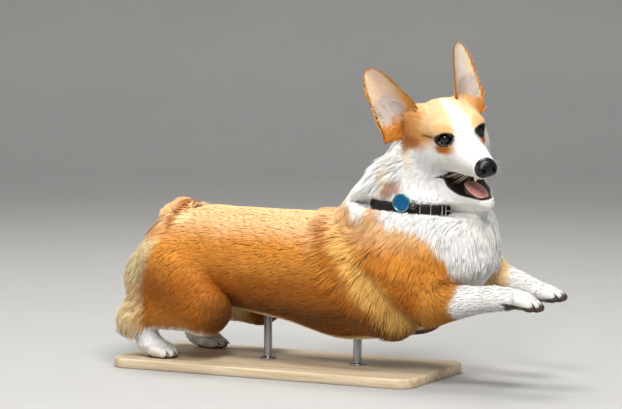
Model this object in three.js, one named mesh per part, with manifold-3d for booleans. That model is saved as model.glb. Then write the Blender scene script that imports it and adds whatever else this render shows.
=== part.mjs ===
// A life-size Pembroke Welsh Corgi in the middle of a bound, held on a plain display stand.
// Units are millimetres. +X is forward along the back, +Y is the dog's left and +Z is up.
// The origin is the centre of the underside of the stand's base.
import * as THREE from 'three';
import { mergeVertices } from 'three/addons/utils/BufferGeometryUtils.js';
import Module from 'manifold-3d';

const wasm = await Module();
wasm.setup();

// Driving dimensions

const GAP = 0.3; // kept between nodes that touch
const BASE = { length: 480, width: 200, thickness: 14, corner: 26, centreX: -22 };
const ROD = { radius: 6, places: [-52, 92] };

const HEAD = { origin: [256, -20, 334], yaw: -41, pitch: -7, roll: 12 }; // degrees, between the eyes
const EYE = { radius: 11.5, spread: 22, depth: 3.5, lid: 2.2, openWidth: 22.5, openHeight: 19 };
const EAR = { width: 62, thickness: 3.8, sunk: 0.16 };
const NOSE = { centre: [75, 0, -33], radii: [11.5, 15.5, 14] };

const COLLAR = { centre: [181, 2, 232], radiusX: 66, radiusY: 60, width: 15, thickness: 3, tilt: -3.5 };
const TAG = { radius: 13, thickness: 2, angle: -85, lift: 8 };
const CLAW = { length: 11, radius: 2.3, sides: 6 };

// Locks of long coat. The body under them is drawn in by coreDepth, and their tips stand out by lift.
const LOCK = { sink: 8, stations: [0, 0.32, 0.62, 0.87], seed: 4 };
const RUFF = { heights: [304, 278, 252, 221], around: 11, length: 42, width: 31, thickness: 10, lift: 9,
  coreDepth: 7 };
const BAND = { perSide: 7, length: 54, width: 34, thickness: 10, lift: 8, coreDepth: 5 };
const BIB = { heights: [190, 160, 130], around: 5, length: 44, width: 35, thickness: 10, lift: 9,
  coreDepth: 7 };
const BREECHES = { rows: 3, spacing: 30, length: 54, width: 33, thickness: 11, lift: 10, coreDepth: 6 };
const BRUSH = { around: 5, length: 34, width: 16, thickness: 7, lift: 4 };
const CHEEK = { perSide: 4, length: 34, width: 20, thickness: 8, lift: 6 };

// Small vector helpers

const vec = (p) => new THREE.Vector3(...p);
const degrees = THREE.MathUtils.degToRad;

// The head's own frame: x to the nose, y to the dog's left, z up.
const headMatrix = new THREE.Matrix4().makeRotationFromEuler(
  new THREE.Euler(degrees(HEAD.roll), degrees(-HEAD.pitch), degrees(HEAD.yaw), 'ZYX')
).setPosition(...HEAD.origin);
const headInverse = headMatrix.clone().invert();
const onHead = (p) => vec(p).applyMatrix4(headMatrix);
const headDirection = (p) => vec(p).transformDirection(headMatrix);

// Distance fields: each takes x, y, z and returns roughly the distance to a surface, below 0 inside

const ellipsoid = ([cx, cy, cz], [rx, ry, rz], turn = 0) => {
  const cos = Math.cos(degrees(turn));
  const sin = Math.sin(degrees(turn));
  return (x, y, z) => {
    const dx = x - cx;
    const dz = z - cz;
    const px = cos * dx + sin * dz;
    const py = y - cy;
    const pz = cos * dz - sin * dx;
    const scaled = Math.hypot(px / rx, py / ry, pz / rz);
    const slope = Math.hypot(px / (rx * rx), py / (ry * ry), pz / (rz * rz));
    return slope < 1e-9 ? -Math.min(rx, ry, rz) : scaled * (scaled - 1) / slope;
  };
};

const taper = (a, b, ra, rb) => {
  const axis = b.map((v, i) => v - a[i]);
  const squared = axis[0] ** 2 + axis[1] ** 2 + axis[2] ** 2;
  return (x, y, z) => {
    const along = ((x - a[0]) * axis[0] + (y - a[1]) * axis[1] + (z - a[2]) * axis[2]) / squared;
    const t = Math.min(1, Math.max(0, along));
    const d = Math.hypot(x - a[0] - t * axis[0], y - a[1] - t * axis[1], z - a[2] - t * axis[2]);
    return d - ra - (rb - ra) * t;
  };
};

const smoothMin = (a, b, k) => {
  const h = Math.max(k - Math.abs(a - b), 0) / k;
  return Math.min(a, b) - h * h * k / 4;
};
const smoothMax = (a, b, k) => -smoothMin(-a, -b, k);

const blend = (k, ...fields) => (x, y, z) => fields.reduce((d, f) => smoothMin(d, f(x, y, z), k), 1e3);
const within = (k, field, limit) => (x, y, z) => smoothMax(field(x, y, z), limit(x, y, z), k);
const without = (k, field, hollow) => (x, y, z) => smoothMax(field(x, y, z), -hollow(x, y, z), k);
const both = (make) => blend(14, make(1), make(-1));

// Flesh and coat of the trunk

const torsoField = blend(
  34,
  taper([70, 0, 131], [-120, 0, 147], 86, 72), // ribs and loin
  ellipsoid([112, 0, 128], [128, 84, 86]), // rib cage
  ellipsoid([-176, 0, 150], [66, 66, 64], -12), // croup
  both((s) => ellipsoid([-196, 40 * s, 116], [62, 38, 58])), // buttocks
  both((s) => ellipsoid([168, 50 * s, 124], [68, 38, 72], -12)), // upper arms
  ellipsoid([234, 0, 176], [68, 62, 76], 6) // breast
);

const narrowed = (field, by) => (x, y, z) => field(x, y * by, z);

const neckField = narrowed(blend(
  30,
  taper([150, 0, 196], [190, 20, 300], 76, 50), // nape and ruff
  ellipsoid([132, 0, 228], [52, 62, 40], 34), // ruff over the withers
  taper([210, 0, 196], [238, 0, 200], 74, 60) // throat
), 1.12);

// The head, in its own frame

const MOUTH = { corner: -14, lip: -50, gape: 29, ease: 24 };
const upperLip = (x, y, z) => MOUTH.lip - 0.002 * (x - 30) * (x - 60) - z;
const lowerLip = (x, y, z) =>
  z - MOUTH.lip + MOUTH.gape * (1 - Math.exp(-Math.max(x - MOUTH.corner, 0) / MOUTH.ease));

const muzzleField = within(
  5,
  blend(
    12,
    both((s) => taper([6, 8 * s, -26], [66, 4.5 * s, -34], 25, 14)),
    taper([10, 0, -20], [66, 0, -30], 21, 11)
  ),
  upperLip
);

const jawField = without(
  4,
  within(
    4,
    blend(
      10,
      both((s) => taper([-34, 15 * s, -74], [26, 6 * s, -82], 27, 17)),
      both((s) => taper([26, 6 * s, -82], [60, 3 * s, -87], 17, 10))
    ),
    lowerLip
  ),
  ellipsoid([34, 0, -72], [32, 12, 9], 12) // floor of the mouth
);

const skullField = blend(
  16,
  ellipsoid([-42, 0, 3], [54, 50, 42]),
  ellipsoid([-8, 0, 6], [28, 36, 20]), // forehead
  both((s) => ellipsoid([4, 25 * s, 10], [13, 13, 9])), // brows
  both((s) => ellipsoid([-36, 31 * s, -24], [38, 25, 32])), // cheeks
  both((s) => ellipsoid([-50, 30 * s, -54], [38, 30, 36])), // jowls
  both((s) => ellipsoid([-54, 35 * s, 12], [24, 20, 22])) // ear roots
);

const headLocal = (x, y, z) => smoothMin(
  smoothMin(skullField(x, y, z), muzzleField(x, y, z), 16),
  jawField(x, y, z),
  7
);

const fieldOnHead = (field) => {
  const m = headInverse.elements;
  return (x, y, z) => field(
    m[0] * x + m[4] * y + m[8] * z + m[12],
    m[1] * x + m[5] * y + m[9] * z + m[13],
    m[2] * x + m[6] * y + m[10] * z + m[14]
  );
};
const headField = fieldOnHead(headLocal);

// The open mouth, kept clear between the lips and hollow behind them
const throatPocket = ellipsoid([-6, 0, -61], [38, 24, 13], 12);
const mouthGap = fieldOnHead((x, y, z) => {
  const gap = Math.max(-upperLip(x, y, z), -lowerLip(x, y, z), MOUTH.corner + 3 - x, Math.abs(y) - 44);
  return Math.min(gap, throatPocket(x, y, z));
});

// The collar's bed: the coat is pressed in along the strap, but closes over it at the nape and throat
const collarTilt = Math.tan(degrees(COLLAR.tilt));
const collarBed = (x, y, z) => {
  const [cx, cy, cz] = COLLAR.centre;
  const dx = x - cx;
  const ring = Math.max(Math.hypot(dx / COLLAR.radiusX, (y - cy) / COLLAR.radiusY), 0.01);
  const outward = (ring - 1) * (COLLAR.radiusX + COLLAR.radiusY) / 2;
  const facing = dx / COLLAR.radiusX / ring;
  const covered = Math.max(0, facing > 0 ? (facing - 0.97) / 0.03 : (-facing - 0.7) / 0.2);
  return Math.hypot(Math.min(outward - 4, 0), z - cz - collarTilt * dx) - 11 * (1 - covered);
};

// The line that the saddle band follows down the side, from the withers to behind the elbow
const bandLine = (t) => [62 + 108 * t ** 1.1, 0, 214 - 158 * t];

const ramp = (value, from, to) => Math.min(1, Math.max(0, (value - from) / (to - from)));

// How far the body is drawn in under its long coat
function coreDepth(x, y, z) {
  const strap = Math.abs(z - COLLAR.centre[2] - collarTilt * (x - COLLAR.centre[0]));
  const ruff = RUFF.coreDepth * ramp(neckField(x, y, z), 12, -2) * ramp(headField(x, y, z), 2, 16);
  const bib = BIB.coreDepth * ramp(x, 205, 245) * ramp(z, 84, 110);
  const t = ramp(z, 214, 56);
  const band = BAND.coreDepth * ramp(Math.abs(x - bandLine(t)[0] + 12), 40, 18) * ramp(z, 50, 70);
  const rump = BREECHES.coreDepth * ramp(x, -214, -236) * ramp(z, 70, 90);
  return Math.max(ruff, bib * ramp(headField(x, y, z), 2, 16), band, rump) * ramp(strap, 5, 20);
}

const bodyField = blend(14, blend(26, torsoField, neckField), headField);
const coreField = (x, y, z) => bodyField(x, y, z) + coreDepth(x, y, z);
const trunkField = without(3, without(6, coreField, collarBed), mouthGap);

// Legs: the hip, stifle, hock, elbow and carpus are joint centres

function paw(centre, { yaw, pitch }, size) {
  const forward = [Math.cos(pitch) * Math.cos(yaw), Math.cos(pitch) * Math.sin(yaw), Math.sin(pitch)];
  const across = [-Math.sin(yaw), Math.cos(yaw), 0];
  const up = [-Math.sin(pitch) * Math.cos(yaw), -Math.sin(pitch) * Math.sin(yaw), Math.cos(pitch)];
  const at = (a, b, c) => [0, 1, 2].map((i) => centre[i] + a * forward[i] + b * across[i] + c * up[i]);
  const toes = [-1.5, -0.5, 0.5, 1.5].map((n) => ({
    spread: n * 8.8 * size,
    reach: Math.abs(n) > 1 ? 13 : 20
  }));
  const sole = ellipsoid(centre, [21 * size, 17 * size, 12 * size], THREE.MathUtils.radToDeg(pitch));
  const field = blend(4, sole, ...toes.map(({ spread, reach }) =>
    taper(at(reach - 16, spread, 1), at(reach, spread, -3), 8.5 * size, 7.6 * size)));
  const claws = toes.map(({ spread, reach }) => ({
    root: at(reach + 1, spread, 0),
    tip: at(reach + 1 + CLAW.length * 0.9, spread, -CLAW.length * 0.45)
  }));
  return { at, field, claws };
}

const HIND = [{ side: -1, x: 0 }, { side: 1, x: 14 }].map(({ side, x }) => ({
  name: side < 0 ? 'right' : 'left',
  side,
  hip: [-184 + x, 46 * side, 132],
  stifle: [-116 + x, 70 * side, 74],
  hock: [-236 + x, 60 * side, 58],
  pastern: [-216 + x, 60 * side, 20],
  paw: paw([-196 + x, 61 * side, 10.6], { yaw: 0.06 * side, pitch: 0 }, 1)
}));

const FORE = [
  { name: 'right', side: -1, shoulder: [190, -54, 116], elbow: [230, -56, 100], carpus: [322, -50, 113],
    pastern: [344, -50, 113], paw: paw([366, -50, 112], { yaw: 0.02, pitch: -0.1 }, 0.95) },
  { name: 'left', side: 1, shoulder: [196, 50, 156], elbow: [236, 50, 152], carpus: [322, 45, 122],
    pastern: [340, 44, 116], paw: paw([362, 43, 112], { yaw: -0.03, pitch: 0.08 }, 0.95) }
];

const hindField = (leg) => blend(
  16,
  taper(leg.hip, leg.stifle, 50, 34),
  ellipsoid([leg.hip[0] - 24, leg.hip[1] + 4 * leg.side, leg.hip[2] - 26], [42, 27, 50], 10), // hamstrings
  taper(leg.stifle, leg.hock, 33, 17),
  taper([leg.hip[0] - 34, leg.hip[1] + 8 * leg.side, 90], leg.hock, 26, 16), // breeches
  taper(leg.hock, leg.pastern, 17, 14),
  taper(leg.pastern, leg.paw.at(0, 0, 2), 14, 13)
);

const foreField = (leg) => blend(
  10,
  taper(leg.shoulder, leg.elbow, 40, 31),
  taper(leg.elbow, leg.carpus, 30, 16.5),
  taper(leg.carpus, leg.pastern, 16.5, 14.5),
  taper(leg.pastern, leg.paw.at(0, 0, 0), 14.5, 12)
);

const hindLegField = (leg) => blend(8, hindField(leg), leg.paw.field);
const foreLegField = (leg) => blend(8, foreField(leg), leg.paw.field);

const tailField = blend(
  10,
  taper([-208, 0, 158], [-207, -2, 196], 22, 17),
  taper([-207, -2, 196], [-190, -5, 211], 16, 12),
  taper([-190, -5, 211], [-176, -7, 213], 12, 8)
);

// Meshing: the edges that a field crosses in a grid cell are joined into loops, one vertex to a loop

const CORNERS = [[0, 0, 0], [1, 0, 0], [0, 1, 0], [1, 1, 0], [0, 0, 1], [1, 0, 1], [0, 1, 1], [1, 1, 1]];
const EDGES = [[0, 1], [2, 3], [4, 5], [6, 7], [0, 2], [1, 3], [4, 6], [5, 7], [0, 4], [1, 5], [2, 6], [3, 7]];
const FACES = [[0, 1, 3, 2], [4, 5, 7, 6], [0, 1, 5, 4], [2, 3, 7, 6], [0, 2, 6, 4], [1, 3, 7, 5]];
const edgeBetween = (a, b) => EDGES.findIndex((e) => e.includes(a) && e.includes(b));
const FACE_EDGES = FACES.map((f) => f.map((c, i) => edgeBetween(c, f[(i + 1) % 4])));

// The loops of crossed edges in a cell, as lists of edge numbers. Inside corners stay apart on a face.
function cellLoops(inside) {
  const links = new Map();
  const join = (a, b) => {
    links.set(a, [...(links.get(a) ?? []), b]);
    links.set(b, [...(links.get(b) ?? []), a]);
  };
  FACES.forEach((corners, f) => {
    const crossed = FACE_EDGES[f].filter((e, i) => inside[corners[i]] !== inside[corners[(i + 1) % 4]]);
    if (crossed.length === 2) join(...crossed);
    if (crossed.length === 4) {
      corners.forEach((c, i) => {
        if (inside[c]) join(FACE_EDGES[f][(i + 3) % 4], FACE_EDGES[f][i]);
      });
    }
  });
  const loops = [];
  const seen = new Set();
  for (const start of links.keys()) {
    if (seen.has(start)) continue;
    const loop = [];
    let edge = start;
    while (edge !== undefined) {
      seen.add(edge);
      loop.push(edge);
      edge = links.get(edge).find((e) => !seen.has(e));
    }
    loops.push(loop);
  }
  return loops;
}

// The field's zero surface inside a box, with cells of a given size: points, triangles and slopes.
// A cell may be longer along x.
function surfaceOf(field, [low, high], cell, stretch = 1) {
  const sides = [cell * stretch, cell, cell];
  const count = low.map((v, i) => Math.ceil((high[i] - v) / sides[i]) + 1);
  const [nx, ny, nz] = count;
  const values = new Float64Array(nx * ny * nz);
  const index = (i, j, k) => (k * ny + j) * nx + i;
  for (let k = 0; k < nz; k++) {
    for (let j = 0; j < ny; j++) {
      for (let i = 0; i < nx; i++) {
        const rim = i === 0 || j === 0 || k === 0 || i === nx - 1 || j === ny - 1 || k === nz - 1;
        const value = field(low[0] + i * sides[0], low[1] + j * cell, low[2] + k * cell);
        values[index(i, j, k)] = rim ? Math.max(value, cell / 3) : value;
      }
    }
  }
  const positions = [];
  const vertexOf = new Map();
  for (let k = 0; k < nz - 1; k++) {
    for (let j = 0; j < ny - 1; j++) {
      for (let i = 0; i < nx - 1; i++) {
        const corner = CORNERS.map(([a, b, c]) => values[index(i + a, j + b, k + c)]);
        const inside = corner.map((v) => v < 0);
        if (inside.every((v) => v === inside[0])) continue;
        for (const loop of cellLoops(inside)) {
          const sum = [0, 0, 0];
          for (const e of loop) {
            const [a, b] = EDGES[e];
            const t = corner[a] / (corner[a] - corner[b]);
            [i, j, k].forEach((n, axis) => {
              sum[axis] += n + CORNERS[a][axis] + t * (CORNERS[b][axis] - CORNERS[a][axis]);
            });
            vertexOf.set(index(i, j, k) * 12 + e, positions.length / 3);
          }
          sum.forEach((s, axis) => positions.push(low[axis] + sides[axis] * s / loop.length));
        }
      }
    }
  }
  const slopes = settle(field, positions, cell, low, high);
  const faces = [];
  const quad = (a, b, c, d) => {
    const point = (n) => new THREE.Vector3().fromArray(positions, 3 * n);
    if (point(a).distanceTo(point(c)) <= point(b).distanceTo(point(d))) faces.push(a, b, c, a, c, d);
    else faces.push(a, b, d, b, c, d);
  };
  // The four cells round an edge along x, y or z, and the number that the edge has in each of them
  const AROUND = [
    [[0, -1, -1, 3], [0, 0, -1, 2], [0, 0, 0, 0], [0, -1, 0, 1]],
    [[-1, 0, -1, 7], [-1, 0, 0, 5], [0, 0, 0, 4], [0, 0, -1, 6]],
    [[-1, -1, 0, 11], [0, -1, 0, 10], [0, 0, 0, 8], [-1, 0, 0, 9]]
  ];
  for (let k = 0; k < nz - 1; k++) {
    for (let j = 0; j < ny - 1; j++) {
      for (let i = 0; i < nx - 1; i++) {
        const here = values[index(i, j, k)] < 0;
        [[1, 0, 0], [0, 1, 0], [0, 0, 1]].forEach(([a, b, c], axis) => {
          if (here === values[index(i + a, j + b, k + c)] < 0) return;
          const ring = AROUND[axis].map(([p, q, r, e]) => vertexOf.get(index(i + p, j + q, k + r) * 12 + e));
          quad(...(here ? ring : ring.reverse()));
        });
      }
    }
  }
  return { positions, faces, slopes };
}

function slopeOf(field, p, step = 0.5) {
  return [0, 1, 2].map((i) => {
    const ahead = [...p];
    const behind = [...p];
    ahead[i] += step;
    behind[i] -= step;
    return (field(...ahead) - field(...behind)) / (2 * step);
  });
}

// Moves each vertex along the field's slope to the zero surface, and returns the unit slopes there
function settle(field, positions, cell, low, high) {
  const slopes = [];
  for (let n = 0; n < positions.length; n += 3) {
    const p = positions.slice(n, n + 3);
    const rim = p.some((v, i) => v < low[i] + cell || v > high[i] - cell);
    for (let pass = 0; pass < 3 && !rim; pass++) {
      const slope = slopeOf(field, p);
      const squared = Math.max(slope[0] ** 2 + slope[1] ** 2 + slope[2] ** 2, 0.25);
      const move = THREE.MathUtils.clamp(field(...p) / squared, -0.3 * cell, 0.3 * cell);
      slope.forEach((s, i) => { p[i] -= move * s; });
    }
    p.forEach((v, i) => { positions[n + i] = v; });
    slopes.push(...vec(slopeOf(field, p)).normalize().toArray());
  }
  return slopes;
}

// The solid inside a surface, with its vertices moved out by a small distance
function solidInside({ positions, faces, slopes }, swell = 0) {
  return solid(new Float32Array(positions.map((v, i) => v + swell * slopes[i])), new Uint32Array(faces));
}

const meshField = (field, box, cell) => solidInside(surfaceOf(field, box, cell));

// Solids and three.js geometries

function solid(vertProperties, triVerts) {
  return new wasm.Manifold(new wasm.Mesh({ numProp: 3, vertProperties, triVerts }));
}

function solidOf(geometry, matrix = new THREE.Matrix4()) {
  const bare = geometry.clone().applyMatrix4(matrix);
  bare.deleteAttribute('normal');
  bare.deleteAttribute('uv');
  const merged = mergeVertices(bare, 1e-4);
  return solid(merged.attributes.position.array, new Uint32Array(merged.index.array));
}

function geometryOf(shape) {
  const mesh = shape.getMesh();
  return new THREE.BufferGeometry()
    .setAttribute('position', new THREE.BufferAttribute(mesh.vertProperties, 3))
    .setIndex(new THREE.BufferAttribute(mesh.triVerts, 1));
}

const largest = (shape) => shape.decompose().sort((a, b) => b.volume() - a.volume())[0];

// A closed solid through rings of equal count, with a fan over each end, the last one up to a tip
function loft(rings, tip) {
  const n = rings[0].length;
  const centre = (ring) => ring.reduce((s, p) => s.add(p), new THREE.Vector3()).divideScalar(n);
  const points = [...rings.flat(), centre(rings[0]), tip ?? centre(rings.at(-1))];
  const faces = [];
  rings.slice(1).forEach((ring, r) => {
    for (let i = 0; i < n; i++) {
      const a = r * n + i;
      const b = r * n + (i + 1) % n;
      faces.push(a, b, b + n, a, b + n, a + n);
    }
  });
  for (let i = 0; i < n; i++) {
    const last = (rings.length - 1) * n;
    faces.push(points.length - 2, (i + 1) % n, i);
    faces.push(points.length - 1, last + i, last + (i + 1) % n);
  }
  const made = solid(new Float32Array(points.flatMap((p) => p.toArray())), new Uint32Array(faces));
  if (made.volume() > 0) return made;
  for (let f = 0; f < faces.length; f += 3) [faces[f], faces[f + 1]] = [faces[f + 1], faces[f]];
  return solid(new Float32Array(points.flatMap((p) => p.toArray())), new Uint32Array(faces));
}

// A box that covers one side of a plane, as a solid
function halfSpace(point, normal, reach = 900) {
  const outward = normal.clone().normalize();
  const turn = new THREE.Quaternion().setFromUnitVectors(new THREE.Vector3(0, 0, 1), outward);
  const centre = point.clone().addScaledVector(outward, reach / 2);
  const matrix = new THREE.Matrix4().compose(centre, turn, new THREE.Vector3(1, 1, 1));
  return solidOf(new THREE.BoxGeometry(reach, reach, reach), matrix);
}

const ball = (centre, radius, segments = 20) =>
  solidOf(new THREE.SphereGeometry(radius, segments, Math.round(segments * 0.7)),
    new THREE.Matrix4().setPosition(centre));

// Locks: flat, tapered tufts that leave the body, bend along its lie and end in a point

function seededRandom(seed) {
  let state = seed;
  return () => {
    state = state * 16807 % 2147483647;
    return state / 2147483647;
  };
}

function dropTo(field, point, passes = 4) {
  let p = point;
  for (let pass = 0; pass < passes; pass++) {
    const slope = slopeOf(field, p);
    const squared = Math.max(slope[0] ** 2 + slope[1] ** 2 + slope[2] ** 2, 0.25);
    const move = THREE.MathUtils.clamp(field(...p) / squared, -30, 30);
    p = p.map((v, i) => v - move * slope[i]);
  }
  return p;
}

// One lock on a field's surface, with its section widened by a gap for the cut that clears it
function lockSolid(field, { start, lie }, size, grow) {
  const rings = [];
  let p = dropTo(field, start);
  let last = 0;
  const station = (t) => {
    const normal = vec(slopeOf(field, p)).normalize();
    const along = vec(lie(p));
    along.addScaledVector(normal, -along.dot(normal)).normalize();
    p = dropTo(field, vec(p).addScaledVector(along, (t - last) * size.length).toArray(), 2);
    last = t;
    const rise = -LOCK.sink + (LOCK.sink + size.lift) * (1 - (1 - t) ** 2);
    const across = new THREE.Vector3().crossVectors(normal, along);
    const centre = vec(p).addScaledVector(normal, rise - size.thickness / 3 * (1 - t));
    return { centre, normal, across, along };
  };
  for (const t of LOCK.stations) {
    const { centre, normal, across } = station(t);
    const wide = size.width / 2 * (0.7 + 0.3 * Math.sin(Math.PI * t)) * Math.sqrt(1 - t ** 1.7) + grow;
    const deep = size.thickness / 2 * (1 - 0.6 * t) + grow;
    rings.push([[1, 0], [0, 1], [-1, 0], [0, -1]].map(([a, b]) =>
      centre.clone().addScaledVector(across, a * wide).addScaledVector(normal, b * deep)));
  }
  const end = station(1);
  return loft(rings, end.centre.addScaledVector(end.along, grow * 2));
}

const joined = (shapes) => shapes.reduce((whole, shape) => whole.add(shape));
const locksOn = (field, places, size, grow = 0) =>
  joined(places.map((place) => lockSolid(field, place, size, grow)));

// The group that is exported: every node is a mesh with its own material

const model = new THREE.Group();
const dog = new THREE.Group();
dog.position.set(-BASE.centreX, 0, BASE.thickness);
model.add(dog);

const FINISH = {
  sable: { color: 0xc07a35, roughness: 0.85 },
  white: { color: 0xe9e2d6, roughness: 0.85 },
  nose: { color: 0x1c1a1c, roughness: 0.45 },
  eye: { color: 0x22130c, roughness: 0.08 },
  mouth: { color: 0xa6505a, roughness: 0.4 },
  tooth: { color: 0xe8e0cc, roughness: 0.3 },
  claw: { color: 0x2a221d, roughness: 0.5 },
  leather: { color: 0x2b1f1a, roughness: 0.6 },
  steel: { color: 0xb9bcc0, roughness: 0.3, metalness: 1 },
  enamel: { color: 0x1d78b8, roughness: 0.25 },
  board: { color: 0xcfc3b0, roughness: 0.6 }
};
const materials = Object.fromEntries(
  Object.entries(FINISH).map(([name, look]) => [name, new THREE.MeshStandardMaterial(look)])
);

function addNode(name, shape, finish, parent = dog) {
  const mesh = new THREE.Mesh(geometryOf(largest(shape)), materials[finish]);
  mesh.name = name;
  parent.add(mesh);
}

// Torso, neck, head and lower jaw, parted by thin cuts

const BODY_BOX = [[-300, -130, 20], [340, 130, 340]];
const NECK_BOX = [[50, -130, 150], [340, 130, 370]];
const HEAD_BOX = [[120, -150, 190], [380, 130, 420]];
const CELL = { torso: 22, neck: 18, head: 9.4, jaw: 8.5, foreleg: 12, hindleg: 15, tail: 10 };

const plane = (point, normal) => ({ point, normal: normal.normalize() });
const above = ({ point, normal }, by) => halfSpace(point.clone().addScaledVector(normal, by), normal);
const below = ({ point, normal }, by) =>
  halfSpace(point.clone().addScaledVector(normal, -by), normal.clone().negate());

const withers = plane(vec([180, 0, 206]), vec([0.16, 0, 0.987]));
const occiput = onHead([-88, 0, 2]);
const throatward = onHead([-44, 0, -96]).sub(occiput);
const nape = plane(occiput, new THREE.Vector3().crossVectors(throatward, headDirection([0, 1, 0])));
const strapTop = plane(vec(COLLAR.centre).setZ(COLLAR.centre[2] + 10), vec([-collarTilt, 0, 1]));
const headZone = (by) => above(nape, by).intersect(above(strapTop, by));

const beyond = ({ point, normal }, p, by) => vec(p).sub(point).dot(normal) > by;

// The jaw is parted from the head behind the mouth's corner
const jawBack = plane(onHead([MOUTH.corner, 0, MOUTH.lip]), headDirection([0.94, 0, -0.34]));
const jawRoof = plane(onHead([MOUTH.corner, 0, MOUTH.lip]), headDirection([-0.42, 0, -1]));
const jawZone = (by) => above(jawBack, by).intersect(above(jawRoof, by));

const torsoSurface = surfaceOf(trunkField, BODY_BOX, CELL.torso, 1.8);
const neckSurface = surfaceOf(trunkField, NECK_BOX, CELL.neck);
const headSurface = surfaceOf(trunkField, HEAD_BOX, CELL.head);
const torsoCover = solidInside(torsoSurface, GAP + 0.05);
const neckCover = solidInside(neckSurface, GAP + 0.05).subtract(headZone(GAP / 2));
const headCover = solidInside(headSurface, GAP + 0.05);

const torsoCore = solidInside(torsoSurface).intersect(below(withers, GAP / 2));
const neckCore = solidInside(neckSurface).intersect(above(withers, GAP / 2)).subtract(headZone(-GAP / 2));
let headSolid = solidInside(headSurface).intersect(headZone(GAP / 2)).subtract(jawZone(-GAP / 2));
let jawSolid = meshField(trunkField, HEAD_BOX, CELL.jaw)
  .intersect(headZone(GAP / 2))
  .intersect(jawZone(GAP / 2));

// Eyes, sockets and lids

const eyes = [-1, 1].map((side) => ({
  name: side < 0 ? 'right' : 'left',
  side,
  centre: onHead([EYE.depth, EYE.spread * side, 0]),
  outward: headDirection([0.87, 0.48 * side, 0.06])
}));

// An almond-shaped plug along an eye's axis, as wide and high as the open lids
function lidOpening(eye) {
  const { openWidth: width, openHeight: height } = EYE;
  const almond = new THREE.Shape();
  almond.moveTo(-width / 2, 0.5);
  almond.quadraticCurveTo(0, height, width / 2, -1);
  almond.quadraticCurveTo(0, -height * 0.85, -width / 2, 0.5);
  const geometry = new THREE.ExtrudeGeometry(almond, { depth: 40, bevelEnabled: false, curveSegments: 6 });
  const right = new THREE.Vector3().crossVectors(headDirection([0, 0, 1]), eye.outward).normalize();
  const up = new THREE.Vector3().crossVectors(eye.outward, right);
  const frame = new THREE.Matrix4().makeBasis(right, up, eye.outward).setPosition(eye.centre);
  return solidOf(geometry, frame);
}

for (const eye of eyes) {
  headSolid = headSolid.add(ball(eye.centre, EYE.radius + EYE.lid, 18))
    .subtract(lidOpening(eye))
    .subtract(ball(eye.centre, EYE.radius + 2 * GAP, 14));
  addNode('eye_' + eye.name, ball(eye.centre, EYE.radius, 14), 'eye');
}

// Nose leather with nostrils

const noseBall = (grow) => solidOf(new THREE.SphereGeometry(1, 14, 8), headMatrix.clone()
  .multiply(new THREE.Matrix4().makeTranslation(...NOSE.centre))
  .scale(vec(NOSE.radii.map((r) => r + grow))));
let nose = noseBall(0);
for (const side of [-1, 1]) {
  nose = nose.subtract(solidOf(new THREE.SphereGeometry(1, 8, 5), headMatrix.clone()
    .multiply(new THREE.Matrix4().makeTranslation(84, 7.5 * side, -32))
    .scale(vec([5, 3.4, 2.6]))));
}
headSolid = headSolid.subtract(noseBall(GAP));
addNode('nose', nose, 'nose');

// Upper teeth: a gum arch sunk in the lip, six incisors and two canines

function toothArch(grow) {
  const half = 11.5 + grow;
  const arch = new THREE.Shape();
  arch.moveTo(-grow - 8, half);
  arch.absellipse(0, 0, 15 + grow, half, Math.PI / 2, -Math.PI / 2, true);
  arch.lineTo(-grow - 8, -half);
  arch.lineTo(-grow - 8, -half + 4 + 2 * grow);
  arch.absellipse(0, 0, 11 - grow, 7.5 - grow, -Math.PI / 2, Math.PI / 2, false);
  const depth = 4 + 2 * grow;
  const geometry = new THREE.ExtrudeGeometry(arch, { depth, bevelEnabled: false, curveSegments: 4 });
  geometry.translate(54, 0, -51 - grow);
  return solidOf(geometry, headMatrix);
}
let teeth = toothArch(0);
const crown = (x, y, length, radius) => solidOf(
  new THREE.CylinderGeometry(radius, radius * 0.4, length, 5).rotateX(-Math.PI / 2),
  headMatrix.clone().multiply(new THREE.Matrix4().makeTranslation(x, y, -49 - length / 2)));
for (const side of [-1, 1]) {
  teeth = teeth.add(crown(58, 9 * side, 10, 2.4));
  for (let n = 0; n < 3; n++) teeth = teeth.add(crown(66.6 - 0.9 * n * n, (1.5 + 2.9 * n) * side, 5, 1.6));
}
headSolid = headSolid.subtract(toothArch(GAP));
addNode('teeth_upper', teeth, 'tooth');

// Tongue, lying on the floor of the mouth

const tongueSolid = (grow) => solidOf(new THREE.SphereGeometry(1, 12, 8), headMatrix.clone()
  .multiply(new THREE.Matrix4().makeTranslation(36, 0, -74))
  .multiply(new THREE.Matrix4().makeRotationY(degrees(14)))
  .scale(vec([27 + grow, 11.5 + grow, 5.5 + grow])));
addNode('tongue', tongueSolid(0), 'mouth');
jawSolid = jawSolid.subtract(tongueSolid(GAP));
headSolid = headSolid.subtract(tongueSolid(GAP));

// Ears: a cupped leaf with a wall of even thickness and a round tip, flared outwards at its root

const EAR_POSES = [
  { name: 'right', base: [-54, -52, 11], tip: [-64.5, -94, 95], facing: [0.87, -0.48, 0.12], flare: 5 },
  { name: 'left', base: [-50, 41, 10], tip: [-54, 58, 106], facing: [0.88, 0.46, 0.12], flare: 0 }
];

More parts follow.
